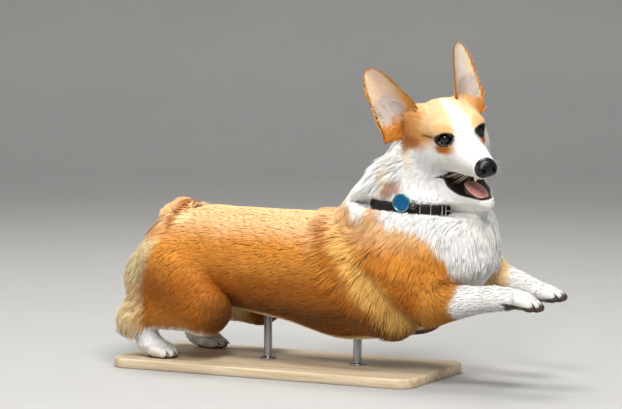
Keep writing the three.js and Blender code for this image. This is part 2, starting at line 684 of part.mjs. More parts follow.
function earSolid(pose, grow = 0) {
  const base = vec(pose.base);
  const axis = vec(pose.tip).sub(base);
  const facing = vec(pose.facing);
  facing.addScaledVector(axis, -facing.dot(axis) / axis.lengthSq()).normalize();
  const across = new THREE.Vector3().crossVectors(axis, facing).normalize();
  const steps = 9;
  const columns = 7;
  const rings = [];
  for (let i = 0; i <= steps; i++) {
    const t = 1 - (1 + EAR.sunk) * (1 - i / steps) ** 1.25;
    const flare = pose.flare * Math.min(1, Math.max(0, 1 - t / 0.4)) ** 2;
    const taperIn = Math.max(t - 0.55, 0) / 0.46;
    const narrowing = (1.02 - 0.75 * Math.max(t - 0.3, 0)) * Math.sqrt(1 - taperIn ** 4);
    const half = EAR.width / 2 * narrowing + flare / 2 + grow;
    const radius = EAR.width * (0.56 + 0.2 * t);
    const reach = Math.asin(Math.min(half / radius, 0.97));
    const middle = base.clone().addScaledVector(axis, t).addScaledVector(across, -flare)
      .addScaledVector(facing, 4 * Math.sin(Math.PI * t));
    const wall = EAR.thickness * (1 - 0.4 * t) + grow;
    const point = (s, inner) => {
      const r = radius + (inner ? -wall : grow);
      return middle.clone()
        .addScaledVector(across, r * Math.sin(reach * s))
        .addScaledVector(facing, radius * 0.5 - r * Math.cos(reach * s));
    };
    const ring = [];
    for (let c = 0; c < columns; c++) ring.push(point(2 * c / (columns - 1) - 1, false));
    for (let c = columns - 1; c >= 0; c--) ring.push(point(2 * c / (columns - 1) - 1, true));
    rings.push(ring.map((p) => p.applyMatrix4(headMatrix)));
  }
  return loft(rings);
}

for (const pose of EAR_POSES) addNode('ear_' + pose.name, earSolid(pose).subtract(headCover), 'sable');

// Collar: a leather strap, two keeper loops, a buckle, a round tag and a bell, in the strap's own frame

const collarMatrix = new THREE.Matrix4().makeRotationY(degrees(-COLLAR.tilt)).setPosition(...COLLAR.centre);

function collarRing(grow) {
  const steps = 24;
  const outline = (by) => {
    const points = [];
    for (let i = 0; i < steps; i++) {
      const a = 2 * Math.PI * i / steps;
      points.push(new THREE.Vector2(COLLAR.radiusX + by, COLLAR.radiusY + by)
        .multiply(new THREE.Vector2(Math.cos(a), Math.sin(a))));
    }
    return points;
  };
  const shape = new THREE.Shape(outline(grow));
  shape.holes.push(new THREE.Path(outline(-COLLAR.thickness - grow)));
  const height = COLLAR.width + 2 * grow;
  const geometry = new THREE.ExtrudeGeometry(shape, { depth: height, bevelEnabled: false });
  return solidOf(geometry.translate(0, 0, -height / 2), collarMatrix);
}

// A place on the strap: x along it, y up its width and z outward, at an angle round the neck
function onStrap(angle, outward = 0) {
  const a = degrees(angle);
  const point = vec([COLLAR.radiusX * Math.cos(a), COLLAR.radiusY * Math.sin(a), 0]);
  const normal = vec([Math.cos(a) / COLLAR.radiusX, Math.sin(a) / COLLAR.radiusY, 0]).normalize();
  const along = vec([-normal.y, normal.x, 0]);
  const frame = new THREE.Matrix4().makeBasis(along, vec([0, 0, 1]), normal);
  return collarMatrix.clone().multiply(frame.setPosition(point.addScaledVector(normal, outward)));
}

// A rectangular loop of square wire, standing on edge, in x wide, y high and z deep
function wireLoop(frame, [width, height, depth], wire, grow = 0) {
  const box = (w, h, d) => solidOf(new THREE.BoxGeometry(w, h, d), frame);
  return box(width + 2 * grow, height + 2 * grow, depth + 2 * grow)
    .subtract(box(width + 8, height - 2 * wire - 2 * grow, depth - 2 * wire - 2 * grow));
}

const strapMiddle = -COLLAR.thickness / 2;
const keepers = [-62, -49].map((angle) => ({
  frame: onStrap(angle, strapMiddle),
  size: [2.4, 20.5, 9],
  wire: 1.6
}));
const buckle = { frame: onStrap(-27, 1.6), size: [17, 23, 2.4] };

let collarCover = collarRing(GAP);
keepers.forEach(({ frame, size, wire }, i) => {
  addNode('collar_keeper_' + ['rear', 'front'][i], wireLoop(frame, size, wire), 'steel');
  const cover = size.map((v) => v + 2 * GAP);
  collarCover = collarCover.add(solidOf(new THREE.BoxGeometry(...cover), frame));
});
const buckleFrame = (grow) => {
  const box = ([w, h, d]) => solidOf(new THREE.BoxGeometry(w, h, d), buckle.frame);
  const [w, h, d] = buckle.size;
  if (grow) return box([w + 2 * grow, h + 2 * grow, d + 2 * grow]);
  return box([w, h, d]).subtract(box([w - 5, h - 5, d * 2]));
};
addNode('collar_buckle', buckleFrame(0), 'steel');
collarCover = collarCover.add(buckleFrame(GAP));
addNode('collar_strap', collarRing(0), 'leather');

const disc = (frame, radius, depth) =>
  solidOf(new THREE.CylinderGeometry(radius, radius, depth, 22).rotateX(Math.PI / 2), frame);
const tagFrame = onStrap(TAG.angle, GAP + 0.4 + TAG.thickness / 2);
tagFrame.multiply(new THREE.Matrix4().makeTranslation(0, TAG.lift, 0));
addNode('collar_tag', disc(tagFrame, TAG.radius, TAG.thickness), 'enamel');
const bellFrame = onStrap(-70, 5.6);
bellFrame.multiply(new THREE.Matrix4().makeTranslation(0, 5, 0));
addNode('collar_bell', solidOf(new THREE.SphereGeometry(4.8, 8, 6), bellFrame), 'leather');
collarCover = collarCover.add(disc(tagFrame, TAG.radius + GAP, TAG.thickness + 2 * GAP))
  .add(solidOf(new THREE.SphereGeometry(5.4, 8, 6), bellFrame));

// Legs and tail, each cut clear of the trunk, and their claws

const pointed = (root, tip, grow) => {
  const axis = vec(tip).sub(vec(root));
  const turn = new THREE.Quaternion().setFromUnitVectors(vec([0, 1, 0]), axis.clone().normalize());
  const geometry = new THREE.CylinderGeometry(
    CLAW.radius * 0.25 + grow, CLAW.radius + grow, axis.length() + 2 * grow, CLAW.sides);
  const middle = vec(root).addScaledVector(axis, 0.5);
  return solidOf(geometry, new THREE.Matrix4().compose(middle, turn, vec([1, 1, 1])));
};

const hockPlane = (leg) => plane(vec([leg.hock[0], 0, 42]), vec([0.1, 0, 1]));
const hindBox = (leg) => [[-300, leg.side < 0 ? -130 : 5, -10], [-60, leg.side < 0 ? -5 : 130, 200]];
const foreBox = (leg) => [[150, leg.side < 0 ? -110 : 5, 50], [420, leg.side < 0 ? -5 : 110, 210]];
const hindShape = (leg) => within(0.5, hindLegField(leg), (x, y, z) => GAP - z);
const hindSurfaces = HIND.map((leg) => surfaceOf(hindShape(leg), hindBox(leg), CELL.hindleg));
const foreSurfaces = FORE.map((leg) => surfaceOf(foreLegField(leg), foreBox(leg), CELL.foreleg));
const tailSurface = surfaceOf(tailField, [[-270, -50, 110], [-130, 50, 250]], CELL.tail);
const cleared = (surface) => solidInside(surface).subtract(torsoCover);
const swollen = (surfaces) => joined(surfaces.map((surface) => solidInside(surface, GAP + 0.05)));

// Where the locks grow. Each place has a start near the surface and the lie of the coat there.

const random = seededRandom(LOCK.seed);
const jitter = (amount) => (random() - 0.5) * 2 * amount;
const mirrored = (make) => [-1, 1].flatMap(make);

// The neck's middle at a height, and the lie of the ruff: down, and out to the shoulders
const neckAxis = (z) => [152 + 0.36 * (z - 196), 0.17 * (z - 196)];
const ruffLie = ([x, y, z]) => [(x - neckAxis(z)[0]) * 0.006 - 0.2, y * 0.006, -1];

const ruffPlaces = [];
RUFF.heights.forEach((height, row) => {
  for (let i = 0; i < RUFF.around; i++) {
    const angle = 2 * Math.PI * (i + (row % 2) / 2) / RUFF.around;
    const z = height + jitter(4);
    const [cx, cy] = neckAxis(z);
    const cos = Math.cos(angle);
    const start = dropTo(trunkField, [cx + 90 * cos, cy + 80 * Math.sin(angle), z - 14 * cos]);
    const end = vec(start).add(vec(ruffLie(start)).setLength(RUFF.length));
    const nearHead = [start, end.toArray()].some((p) => beyond(nape, p, -6) && beyond(strapTop, p, -4));
    const overStrap = collarBed(...start) < 9 || collarBed(end.x, end.y, end.z) < 4;
    if (!nearHead && !overStrap && start[2] > 210) ruffPlaces.push({ start, lie: ruffLie });
  }
});

const bandPlaces = mirrored((side) => Array.from({ length: BAND.perSide }, (_, i) => {
  const t = (i + 0.2) / BAND.perSide;
  const [x, , z] = bandLine(t);
  const start = [x + 8 + jitter(4), side * (30 + 70 * Math.min(1, 2.4 * t)), z + 10];
  return { start, lie: () => [-0.75 + 0.6 * t, 0, -0.55 - 0.45 * t] };
}));

const bibPlaces = BIB.heights.flatMap((height, row) => Array.from({ length: BIB.around }, (_, i) => {
  const angle = degrees(-66 + 132 * (i + (row % 2) / 2) / (BIB.around - 0.5));
  const start = [236 + 78 * Math.cos(angle), 74 * Math.sin(angle), height + jitter(4)];
  return { start, lie: () => [0.05, 0.15 * Math.sin(angle), -1] };
}));

const breechesPlaces = (leg) => Array.from({ length: 2 * BREECHES.rows }, (_, i) => {
  const row = Math.floor(i / 2);
  const outer = i % 2;
  const x = leg.hip[0] - 58 + 16 * outer - 5 * row;
  const z = 152 - BREECHES.spacing * row + 14 * outer;
  return { start: [x, leg.side * (44 + 34 * outer), z], lie: () => [-0.3, 0.08 * leg.side, -1] };
});

const rumpPlaces = mirrored((side) => [0, 1, 2].map((row) => ({
  start: [-250, side * (16 + 8 * row), 166 - 24 * row],
  lie: () => [-0.35, 0.1 * side, -1]
})));

const brushPlaces = Array.from({ length: BRUSH.around }, (_, i) => {
  const angle = 2 * Math.PI * (i + 0.5) / BRUSH.around;
  const start = [-207 - 18 * Math.cos(angle), -2 + 18 * Math.sin(angle), 186];
  return { start, lie: ([x]) => [ramp(x, -222, -190), 0, 1] };
});

const cheekPlaces = mirrored((side) => Array.from({ length: CHEEK.perSide }, (_, i) => {
  const start = onHead([-46 - 3 * i, 64 * side, -14 - 15 * i]).toArray();
  const lie = headDirection([-0.75, 0.1 * side, -0.6]).toArray();
  return { start, lie: () => lie };
}));

// Nodes of flesh with their locks, which stay clear of the nodes that they hang over

const ground = halfSpace(vec([0, 0, GAP]), vec([0, 0, 1]));
const legsCover = swollen([...hindSurfaces, ...foreSurfaces, tailSurface]);
const earCover = joined(EAR_POSES.map((pose) => earSolid(pose, GAP)));
const zoneCover = headCover.intersect(headZone(-GAP));

const cheeks = (grow) => locksOn(trunkField, cheekPlaces, CHEEK, grow);
const ruff = (grow) => locksOn(trunkField, ruffPlaces, RUFF, grow);
const brush = (grow) => locksOn(tailField, brushPlaces, BRUSH, grow);
const breeches = HIND.map((leg) => (grow) => locksOn(hindLegField(leg), breechesPlaces(leg), BREECHES, grow));
const torsoLocks = joined([
  locksOn(trunkField, bandPlaces, BAND),
  locksOn(trunkField, bibPlaces, BIB),
  locksOn(trunkField, rumpPlaces, BREECHES)
]);

const cheekLocks = cheeks(0).subtract(neckCover).subtract(earCover);
addNode('head', headSolid.add(cheekLocks).subtract(collarCover), 'sable');
addNode('lower_jaw', jawSolid.subtract(collarCover), 'white');
const ruffLocks = ruff(0)
  .subtract(torsoCover.intersect(below(withers, -GAP / 2)))
  .subtract(zoneCover)
  .subtract(cheeks(GAP));
addNode('neck', neckCore.add(ruffLocks).subtract(collarCover), 'white');
const rumpClear = joined([ruff(GAP), brush(GAP), ...breeches.map((make) => make(GAP))]);
const neckZone = neckCover.intersect(above(withers, -GAP / 2));
const trunkLocks = torsoLocks.subtract(legsCover).subtract(rumpClear).subtract(neckZone);
addNode('torso', torsoCore.add(trunkLocks), 'sable');
addNode('tail', cleared(tailSurface).add(brush(0).subtract(torsoCover)), 'sable');

function addFeet(name, foot, leg) {
  let shape = foot;
  leg.paw.claws.forEach(({ root, tip }, i) => {
    addNode('claw_' + name + '_' + (i + 1), pointed(root, tip, 0), 'claw');
    shape = shape.subtract(pointed(root, tip, GAP));
  });
  addNode(name, shape, 'white');
}

HIND.forEach((leg, i) => {
  const whole = cleared(hindSurfaces[i]);
  const footCover = solidInside(hindSurfaces[i], GAP + 0.05).intersect(below(hockPlane(leg), -GAP / 2));
  const locks = breeches[i](0).subtract(torsoCover).subtract(footCover).intersect(ground);
  addNode('hindleg_' + leg.name, whole.intersect(above(hockPlane(leg), GAP / 2)).add(locks), 'sable');
  addFeet('hindfoot_' + leg.name, whole.intersect(below(hockPlane(leg), GAP / 2)), leg);
});
FORE.forEach((leg, i) => addFeet('foreleg_' + leg.name, cleared(foreSurfaces[i]), leg));

// Stand: a flat base with round corners and two short rods

function boardGeometry() {
  const { length, width, corner, thickness } = BASE;
  const x = length / 2 - corner;
  const y = width / 2 - corner;
  const outline = new THREE.Shape();
  outline.absarc(x, -y, corner, -Math.PI / 2, 0);
  outline.absarc(x, y, corner, 0, Math.PI / 2);
  outline.absarc(-x, y, corner, Math.PI / 2, Math.PI);
  outline.absarc(-x, -y, corner, Math.PI, 1.5 * Math.PI);
  return new THREE.ExtrudeGeometry(outline, { depth: thickness, bevelEnabled: false, curveSegments: 6 });
}
addNode('stand_base', solidOf(boardGeometry()), 'board', model);

ROD.places.forEach((x, i) => {
  const height = 90;
  const rod = new THREE.CylinderGeometry(ROD.radius, ROD.radius, height, 16).rotateX(Math.PI / 2);
  const place = new THREE.Matrix4().setPosition(x, 0, GAP + height / 2);
  addNode('stand_rod_' + ['rear', 'front'][i], solidOf(rod, place).subtract(torsoCover), 'steel');
});

export default model;
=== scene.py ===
"""A life-size Pembroke Welsh Corgi in mid-bound on a plain stand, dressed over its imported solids.

Forms are worked out in millimetres in the dog's own frame: x forward, y to the dog's left, z up from the
top of the stand's base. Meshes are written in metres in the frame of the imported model.
"""
from __future__ import annotations

import logging
import math
import sys
from dataclasses import dataclass, field
from enum import Enum
from typing import Callable, Sequence

import bpy
import numpy as np
from mathutils import Matrix, Vector

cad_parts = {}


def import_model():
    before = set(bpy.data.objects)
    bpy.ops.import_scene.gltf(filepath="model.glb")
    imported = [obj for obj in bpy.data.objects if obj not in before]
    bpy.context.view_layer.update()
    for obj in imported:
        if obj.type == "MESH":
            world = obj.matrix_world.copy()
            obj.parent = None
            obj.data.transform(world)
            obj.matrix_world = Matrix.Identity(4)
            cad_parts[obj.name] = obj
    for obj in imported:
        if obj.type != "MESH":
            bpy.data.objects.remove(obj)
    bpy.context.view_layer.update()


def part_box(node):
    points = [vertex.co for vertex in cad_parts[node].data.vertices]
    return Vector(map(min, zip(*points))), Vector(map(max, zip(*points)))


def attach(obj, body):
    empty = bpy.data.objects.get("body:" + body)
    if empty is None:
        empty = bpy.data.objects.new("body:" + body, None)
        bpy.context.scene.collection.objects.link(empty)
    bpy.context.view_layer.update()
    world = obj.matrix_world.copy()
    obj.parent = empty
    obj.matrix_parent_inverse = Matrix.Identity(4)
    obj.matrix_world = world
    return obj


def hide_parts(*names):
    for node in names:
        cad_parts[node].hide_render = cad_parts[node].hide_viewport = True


log = logging.getLogger("corgi")

Array = np.ndarray
Form = Callable[[Array], Array]
Triple = Sequence[float]

ROW_SHIFT = np.array([22.0, 0.0, 14.0])


# Small maths

def unit(v: Array) -> Array:
    """Vectors scaled to length one."""
    return v / np.maximum(np.linalg.norm(v, axis=-1, keepdims=True), 1e-9)


def ramp(value: Array, start: float, end: float) -> Array:
    """Rises smoothly from 0 at start to 1 at end, and falls where end is below start."""
    t = np.clip((value - start) / (end - start), 0.0, 1.0)
    return t * t * (3.0 - 2.0 * t)


def linear(colour: Triple) -> Array:
    """A display colour of 0 to 255 as a linear one of 0 to 1."""
    c = np.asarray(colour, float) / 255.0
    return np.where(c <= 0.04045, c / 12.92, ((c + 0.055) / 1.055) ** 2.4)


def paint(under: Array, colour: Triple, mask: Array | float) -> Array:
    """Linear colours with a display colour laid over them where the mask is 1."""
    return under + (linear(colour) - under) * np.clip(mask, 0, 1)[..., None]


def side_name(side: int) -> str:
    """The dog's side in words, from -1 for its right and 1 for its left."""
    return "right" if side < 0 else "left"


def lattice(cells: Array, seed: int) -> Array:
    """A fixed random number of 0 to 1 for each whole-numbered cell.

    Args:
        cells: Whole numbers in three columns.
        seed: Chooses one of many such sets of numbers.

    Returns:
        One number for each row.
    """
    n = cells[:, 0] * 73856093 ^ cells[:, 1] * 19349663 ^ cells[:, 2] * 83492791 ^ seed * 49979687
    n = (n ^ (n >> 13)) * 1274126177 & 0x7FFFFFFF
    n = (n ^ (n >> 11)) * 668265263 & 0x7FFFFFFF
    return ((n ^ (n >> 15)) & 0xFFFF) / 65535.0


def noise(points: Array, size: float, seed: int) -> Array:
    """Smooth noise of -1 to 1 with patches of about the given size."""
    scaled = points / size
    low = np.floor(scaled).astype(np.int64)
    t = scaled - low
    t = t * t * (3.0 - 2.0 * t)
    total = np.zeros(len(points))
    for a in (0, 1):
        for b in (0, 1):
            for c in (0, 1):
                weight = (t[:, 0] if a else 1 - t[:, 0]) * (t[:, 1] if b else 1 - t[:, 1])
                weight = weight * (t[:, 2] if c else 1 - t[:, 2])
                total += weight * lattice(low + np.array([a, b, c]), seed)
    return 2.0 * total - 1.0


# Distance forms: each takes points and returns roughly the distance to a surface, below 0 inside

def ellipsoid(centre: Triple, radii: Triple, turn: float = 0.0) -> Form:
    """An ellipsoid, turned about its y axis by an angle in degrees."""
    cos, sin = math.cos(math.radians(turn)), math.sin(math.radians(turn))
    rx, ry, rz = radii

    def distance(p: Array) -> Array:
        """The form's distance at points."""
        dx, py, dz = p[:, 0] - centre[0], p[:, 1] - centre[1], p[:, 2] - centre[2]
        px = cos * dx + sin * dz
        pz = cos * dz - sin * dx
        scaled = np.sqrt((px / rx) ** 2 + (py / ry) ** 2 + (pz / rz) ** 2)
        slope = np.sqrt((px / rx ** 2) ** 2 + (py / ry ** 2) ** 2 + (pz / rz ** 2) ** 2)
        return np.where(slope < 1e-9, -min(radii), scaled * (scaled - 1) / np.maximum(slope, 1e-9))

    return distance


def taper(a: Triple, b: Triple, ra: float, rb: float) -> Form:
    """A rod from a to b with round ends, whose radius goes from ra to rb."""
    start = np.asarray(a, float)
    axis = np.asarray(b, float) - start
    squared = float(axis @ axis)

    def distance(p: Array) -> Array:
        """The form's distance at points."""
        t = np.clip((p - start) @ axis / squared, 0.0, 1.0)
        return np.linalg.norm(p - start - t[:, None] * axis, axis=1) - ra - (rb - ra) * t

    return distance


def smooth_min(a: Array, b: Array, k: float) -> Array:
    """The smaller of two distances, rounded over k where they meet."""
    h = np.maximum(k - np.abs(a - b), 0.0) / k
    return np.minimum(a, b) - h * h * k / 4


def smooth_max(a: Array, b: Array, k: float) -> Array:
    """The larger of two distances, rounded over k where they meet."""
    return -smooth_min(-a, -b, k)


def blend(k: float, *forms: Form) -> Form:
    """Forms melted into one."""

    def distance(p: Array) -> Array:
        """The form's distance at points."""
        result = np.full(len(p), 1e3)
        for form in forms:
            result = smooth_min(result, form(p), k)
        return result

    return distance


def both(make: Callable[[int], Form]) -> Form:
    """A form made on the left and on the right."""
    return blend(14, make(1), make(-1))


def turned(form: Form, matrix: Array, origin: Array) -> Form:
    """A form that was laid out in a frame of its own, with the frame's axes as the matrix's columns."""
    return lambda p: form((p - origin) @ matrix)


# The dog's shape

@dataclass(frozen=True)
class HeadPose:
    """The head's own frame: x to the nose, y to the dog's left, z up, from between the eyes."""

    origin: tuple[float, float, float] = (256.0, -20.0, 334.0)
    yaw: float = -41.0
    pitch: float = -7.0
    roll: float = 12.0

    @property
    def axes(self) -> Array:
        """The frame's axes as the columns of a matrix."""
        turn = Matrix.Rotation(math.radians(self.yaw), 3, "Z")
        turn = turn @ Matrix.Rotation(math.radians(-self.pitch), 3, "Y")
        return np.array(turn @ Matrix.Rotation(math.radians(self.roll), 3, "X"))

    def out(self, p: Array) -> Array:
        """Points of the head's frame in the dog's frame."""
        return np.asarray(p, float) @ self.axes.T + np.array(self.origin)

    def into(self, p: Array) -> Array:
        """Points of the dog's frame in the head's frame."""
        return (p - np.array(self.origin)) @ self.axes

    def direction(self, v: Triple) -> Array:
        """A direction of the head's frame in the dog's frame."""
        return np.asarray(v, float) @ self.axes.T


@dataclass(frozen=True)
class Leg:
    """A leg's joint centres and its paw."""

    side: int
    joints: tuple[tuple[float, float, float], ...]
    paw: tuple[float, float, float]
    yaw: float
    pitch: float
    size: float
    hind: bool

    def paw_at(self, a: float, b: float, c: float) -> Array:
        """A place in the paw: a forward, b across to the left, c up."""
        cy, sy, cp, sp = math.cos(self.yaw), math.sin(self.yaw), math.cos(self.pitch), math.sin(self.pitch)
        forward = np.array([cp * cy, cp * sy, sp])
        across = np.array([-sy, cy, 0.0])
        up = np.array([-sp * cy, -sp * sy, cp])
        return np.array(self.paw) + a * forward + b * across + c * up

    @property
    def toes(self) -> list[tuple[float, float]]:
        """Each toe's place across the paw and its reach."""
        return [(n * 8.8 * self.size, 13.0 if abs(n) > 1 else 20.0) for n in (-1.5, -0.5, 0.5, 1.5)]

    @property
    def form(self) -> Form:
        """The whole leg's form."""
        s = self.size
        sole = ellipsoid(self.paw, (21 * s, 17 * s, 12 * s), math.degrees(self.pitch))
        toes = [taper(self.paw_at(r - 16, y, 1), self.paw_at(r, y, -3), 8.5 * s, 7.4 * s) for y, r in self.toes]
        paw = blend(3.2, sole, *toes)
        j = self.joints
        if self.hind:
            hip, stifle, hock, pastern = j
            limb = blend(
                16,
                taper(hip, stifle, 50, 34),
                ellipsoid((hip[0] - 24, hip[1] + 4 * self.side, hip[2] - 26), (42, 27, 50), 10),
                taper(stifle, hock, 33, 17),
                taper((hip[0] - 34, hip[1] + 8 * self.side, 90), hock, 26, 16),
                taper(hock, pastern, 17, 14),
                taper(pastern, self.paw_at(0, 0, 2), 14, 13),
            )
            return blend(8, limb, paw)
        shoulder, elbow, carpus, pastern = j
        limb = blend(
            10,
            taper(shoulder, elbow, 40, 31),
            taper(elbow, carpus, 30, 16.5),
            taper(carpus, pastern, 16.5, 14.5),
            taper(pastern, self.paw_at(0, 0, 0), 14.5, 12),
        )
        return blend(8, limb, paw)


def make_legs() -> list[Leg]:
    """The four legs in the pose of the bound."""
    legs = []
    for side, x in ((-1, 0.0), (1, 14.0)):
        joints = ((-184 + x, 46.0 * side, 132), (-116 + x, 70.0 * side, 74), (-236 + x, 60.0 * side, 58),
                  (-216 + x, 60.0 * side, 20))
        legs.append(Leg(side, joints, (-196 + x, 61.0 * side, 10.6), 0.06 * side, 0.0, 1.0, True))
    right = ((190.0, -54.0, 116.0), (230.0, -56.0, 100.0), (322.0, -50.0, 113.0), (344.0, -50.0, 113.0))
    legs.append(Leg(-1, right, (366, -50, 112), 0.02, -0.1, 0.95, False))
    left = ((196.0, 50.0, 156.0), (236.0, 50.0, 152.0), (322.0, 45.0, 122.0), (340.0, 44.0, 116.0))
    legs.append(Leg(1, left, (362, 43, 112), -0.03, 0.08, 0.95, False))
    return legs


@dataclass
class Anatomy:
    """The forms of the dog's body, head, mouth and collar bed, and its coat's depth, lie and markings."""

    head: HeadPose = field(default_factory=HeadPose)
    legs: list[Leg] = field(default_factory=make_legs)
    mouth_corner: float = -14.0
    lip: float = -50.0
    gape: float = 29.0
    ease: float = 24.0
    eye_radius: float = 11.5
    eye_spread: float = 22.0
    eye_depth: float = 3.5
    lid: float = 2.2
    collar_centre: tuple[float, float, float] = (181.0, 2.0, 232.0)
    collar_radii: tuple[float, float] = (66.0, 60.0)
    collar_tilt: float = -3.5

    def __post_init__(self) -> None:
        """Lays out the forms once, for every later reading."""
        self.torso = blend(
            34,
            taper((70, 0, 131), (-120, 0, 147), 86, 72),
            ellipsoid((112, 0, 128), (128, 84, 86)),
            ellipsoid((-176, 0, 150), (66, 66, 64), -12),
            both(lambda s: ellipsoid((-196, 40 * s, 116), (62, 38, 58))),
            both(lambda s: ellipsoid((168, 50 * s, 124), (68, 38, 72), -12)),
            ellipsoid((234, 0, 176), (68, 62, 76), 6),
        )
        neck = blend(
            30,
            taper((150, 0, 196), (190, 20, 300), 76, 50),
            ellipsoid((132, 0, 228), (52, 62, 40), 34),
            taper((210, 0, 196), (238, 0, 200), 74, 60),
        )
        self.neck: Form = lambda p: neck(p * np.array([1.0, 1.12, 1.0]))
        self.tail = blend(
            10,
            taper((-208, 0, 158), (-207, -2, 196), 22, 17),
            taper((-207, -2, 196), (-190, -5, 211), 16, 12),
            taper((-190, -5, 211), (-176, -7, 213), 12, 8),
        )
        self.skull = blend(
            16,
            ellipsoid((-42, 0, 3), (54, 50, 42)),
            ellipsoid((-8, 0, 6), (28, 36, 20)),
            both(lambda s: ellipsoid((4, 25 * s, 10), (13, 13, 9))),
            both(lambda s: ellipsoid((-36, 31 * s, -24), (38, 25, 32))),
            both(lambda s: ellipsoid((-50, 30 * s, -54), (38, 30, 36))),
            both(lambda s: ellipsoid((-54, 35 * s, 12), (24, 20, 22))),
        )
        self.muzzle_bulk = blend(
            12,
            both(lambda s: taper((6, 8 * s, -26), (66, 4.5 * s, -34), 25, 14)),
            taper((10, 0, -20), (66, 0, -30), 21, 11),
        )
        self.jaw_bulk = blend(
            10,
            both(lambda s: taper((-34, 15 * s, -74), (26, 6 * s, -82), 27, 17)),
            both(lambda s: taper((26, 6 * s, -82), (60, 3 * s, -87), 17, 10)),
        )
        self.mouth_floor = ellipsoid((34, 0, -72), (32, 12, 9), 12)
        self.throat_pocket = ellipsoid((-6, 0, -61), (38, 24, 13), 12)
        axes, origin = self.head.axes, np.array(self.head.origin)
        self.head_form = turned(self.head_local, axes, origin)
        self.mouth_gap = turned(self.gap_local, axes, origin)

    def upper_lip(self, p: Array) -> Array:
        """Above 0 below the upper lip's line, in the head's frame."""
        return self.lip - 0.002 * (p[:, 0] - 30) * (p[:, 0] - 60) - p[:, 2]

    def lower_lip(self, p: Array) -> Array:
        """Above 0 above the lower lip's line, in the head's frame."""
        drop = 1 - np.exp(-np.maximum(p[:, 0] - self.mouth_corner, 0) / self.ease)
        return p[:, 2] - self.lip + self.gape * drop

    def head_local(self, p: Array) -> Array:
        """The head's form in its own frame: skull, muzzle and lower jaw."""
        muzzle = smooth_max(self.muzzle_bulk(p), self.upper_lip(p), 5)
        jaw = smooth_max(self.jaw_bulk(p), self.lower_lip(p), 4)
        jaw = smooth_max(jaw, -self.mouth_floor(p), 4)
        return smooth_min(smooth_min(self.skull(p), muzzle, 16), jaw, 7)

    def gap_local(self, p: Array) -> Array:
        """The open mouth in the head's frame, below 0 inside it."""
        gap = np.maximum(-self.upper_lip(p), -self.lower_lip(p))
        gap = np.maximum(gap, np.maximum(self.mouth_corner + 3 - p[:, 0], np.abs(p[:, 1]) - 44))
        return np.minimum(gap, self.throat_pocket(p))

    def strap_place(self, p: Array) -> tuple[Array, Array, Array]:
        """How far points lie outside the strap's ring, above its middle, and how far forward they face."""
        slope = math.tan(math.radians(self.collar_tilt))
        dx = p[:, 0] - self.collar_centre[0]
        rx, ry = self.collar_radii
        ring = np.maximum(np.hypot(dx / rx, (p[:, 1] - self.collar_centre[1]) / ry), 0.01)
        return (ring - 1) * (rx + ry) / 2, p[:, 2] - self.collar_centre[2] - slope * dx, dx / rx / ring

    def collar_bed(self, p: Array) -> Array:
        """Where the coat is pressed in along the strap, below 0 inside."""
        outward, height, facing = self.strap_place(p)
        covered = np.where(facing > 0, (facing - 0.915) / 0.05, (-facing - 0.7) / 0.2)
        return np.hypot(np.minimum(outward - 4, 0), height) - 11 * (1 - np.maximum(0, covered))

    def eye_centre(self, side: int) -> Array:
        """An eye's centre in the head's frame."""
        return np.array([self.eye_depth, self.eye_spread * side, 0.0])

    def eye_axis(self, side: int) -> Array:
        """The way that an eye looks, in the head's frame."""
        return unit(np.array([0.87, 0.48 * side, 0.06]))

    def eye_frame(self, side: int) -> Array:
        """An eye's own axes in the head's frame as a matrix's columns: right, up and outward."""
        outward = self.eye_axis(side)
        right = unit(np.cross([0.0, 0.0, 1.0], outward))
        return np.stack([right, np.cross(outward, right), outward], 1)

    def lid_opening(self, q: Array) -> Array:
        """The almond between an eye's lids, below 0 inside, from places right and up of its centre."""
        half = 11.25
        t = np.clip(q[:, 0] / half, -1.3, 1.3)
        upper = 0.2 + 9.4 * np.maximum(1 - t * t, -0.5) - 0.8 * t
        lower = 0.2 - 8.2 * np.maximum(1 - t * t, -0.5) - 0.8 * t
        return np.maximum(q[:, 1] - upper, lower - q[:, 1]) * 0.8

    def bulk(self, p: Array) -> Array:
        """The whole body out to the tips of its short coat, with the mouth closed up."""
        trunk = smooth_min(self.torso(p), self.neck(p), 26)
        body = smooth_min(trunk, self.head_form(p), 14)
        for leg in self.legs:
            body = smooth_min(body, leg.form(p), 9)
        return smooth_min(body, self.tail(p), 7)

    def depth(self, p: Array) -> Array:
        """How deep the skin lies under the body's outline."""
        h = self.head.into(p)
        on_head = ramp(self.head_form(p), 14, 2) * ramp(h[:, 0], -75, -45)
        face = on_head * ramp(h[:, 0], -40, -6)
        eye = np.min([np.linalg.norm(h - self.eye_centre(s), axis=1) for s in (-1, 1)], axis=0)
        bare = np.maximum(ramp(eye, 20, 14), ramp(np.abs(self.mouth_gap(p)), 7, 2) * face)
        long_coat = np.clip(self.long_coat(p), 0, 1)
        depth = 3.8 + (4.0 - 1.8 * ramp(self.neck(p), 12, 2)) * long_coat
        depth = depth + (3.0 - depth) * on_head
        depth = depth + (1.5 - depth) * face
        depth = depth + (0.4 - depth) * bare
        depth = depth + (3.0 - depth) * ramp(self.tail(p), 6, 1) * ramp(p[:, 2], 166, 180)
        limb = ramp(p[:, 0], 236, 300) * ramp(p[:, 2], 178, 150)
        foot = ramp(p[:, 2], 60, 36) * ramp(p[:, 0], -100, -130)
        depth = depth + (2.2 - depth) * np.maximum(limb, foot)
        toes = np.maximum(ramp(p[:, 0], 352, 366) * ramp(p[:, 2], 178, 150), ramp(p[:, 2], 24, 14))
        return depth + (1.0 - depth) * toes

    def band_line(self, t: Array) -> tuple[Array, Array]:
        """The saddle band's middle along the side as x and z, from the withers at 0 to the elbow at 1."""
        return 82 + 104 * t ** 1.1, 206 - 126 * t

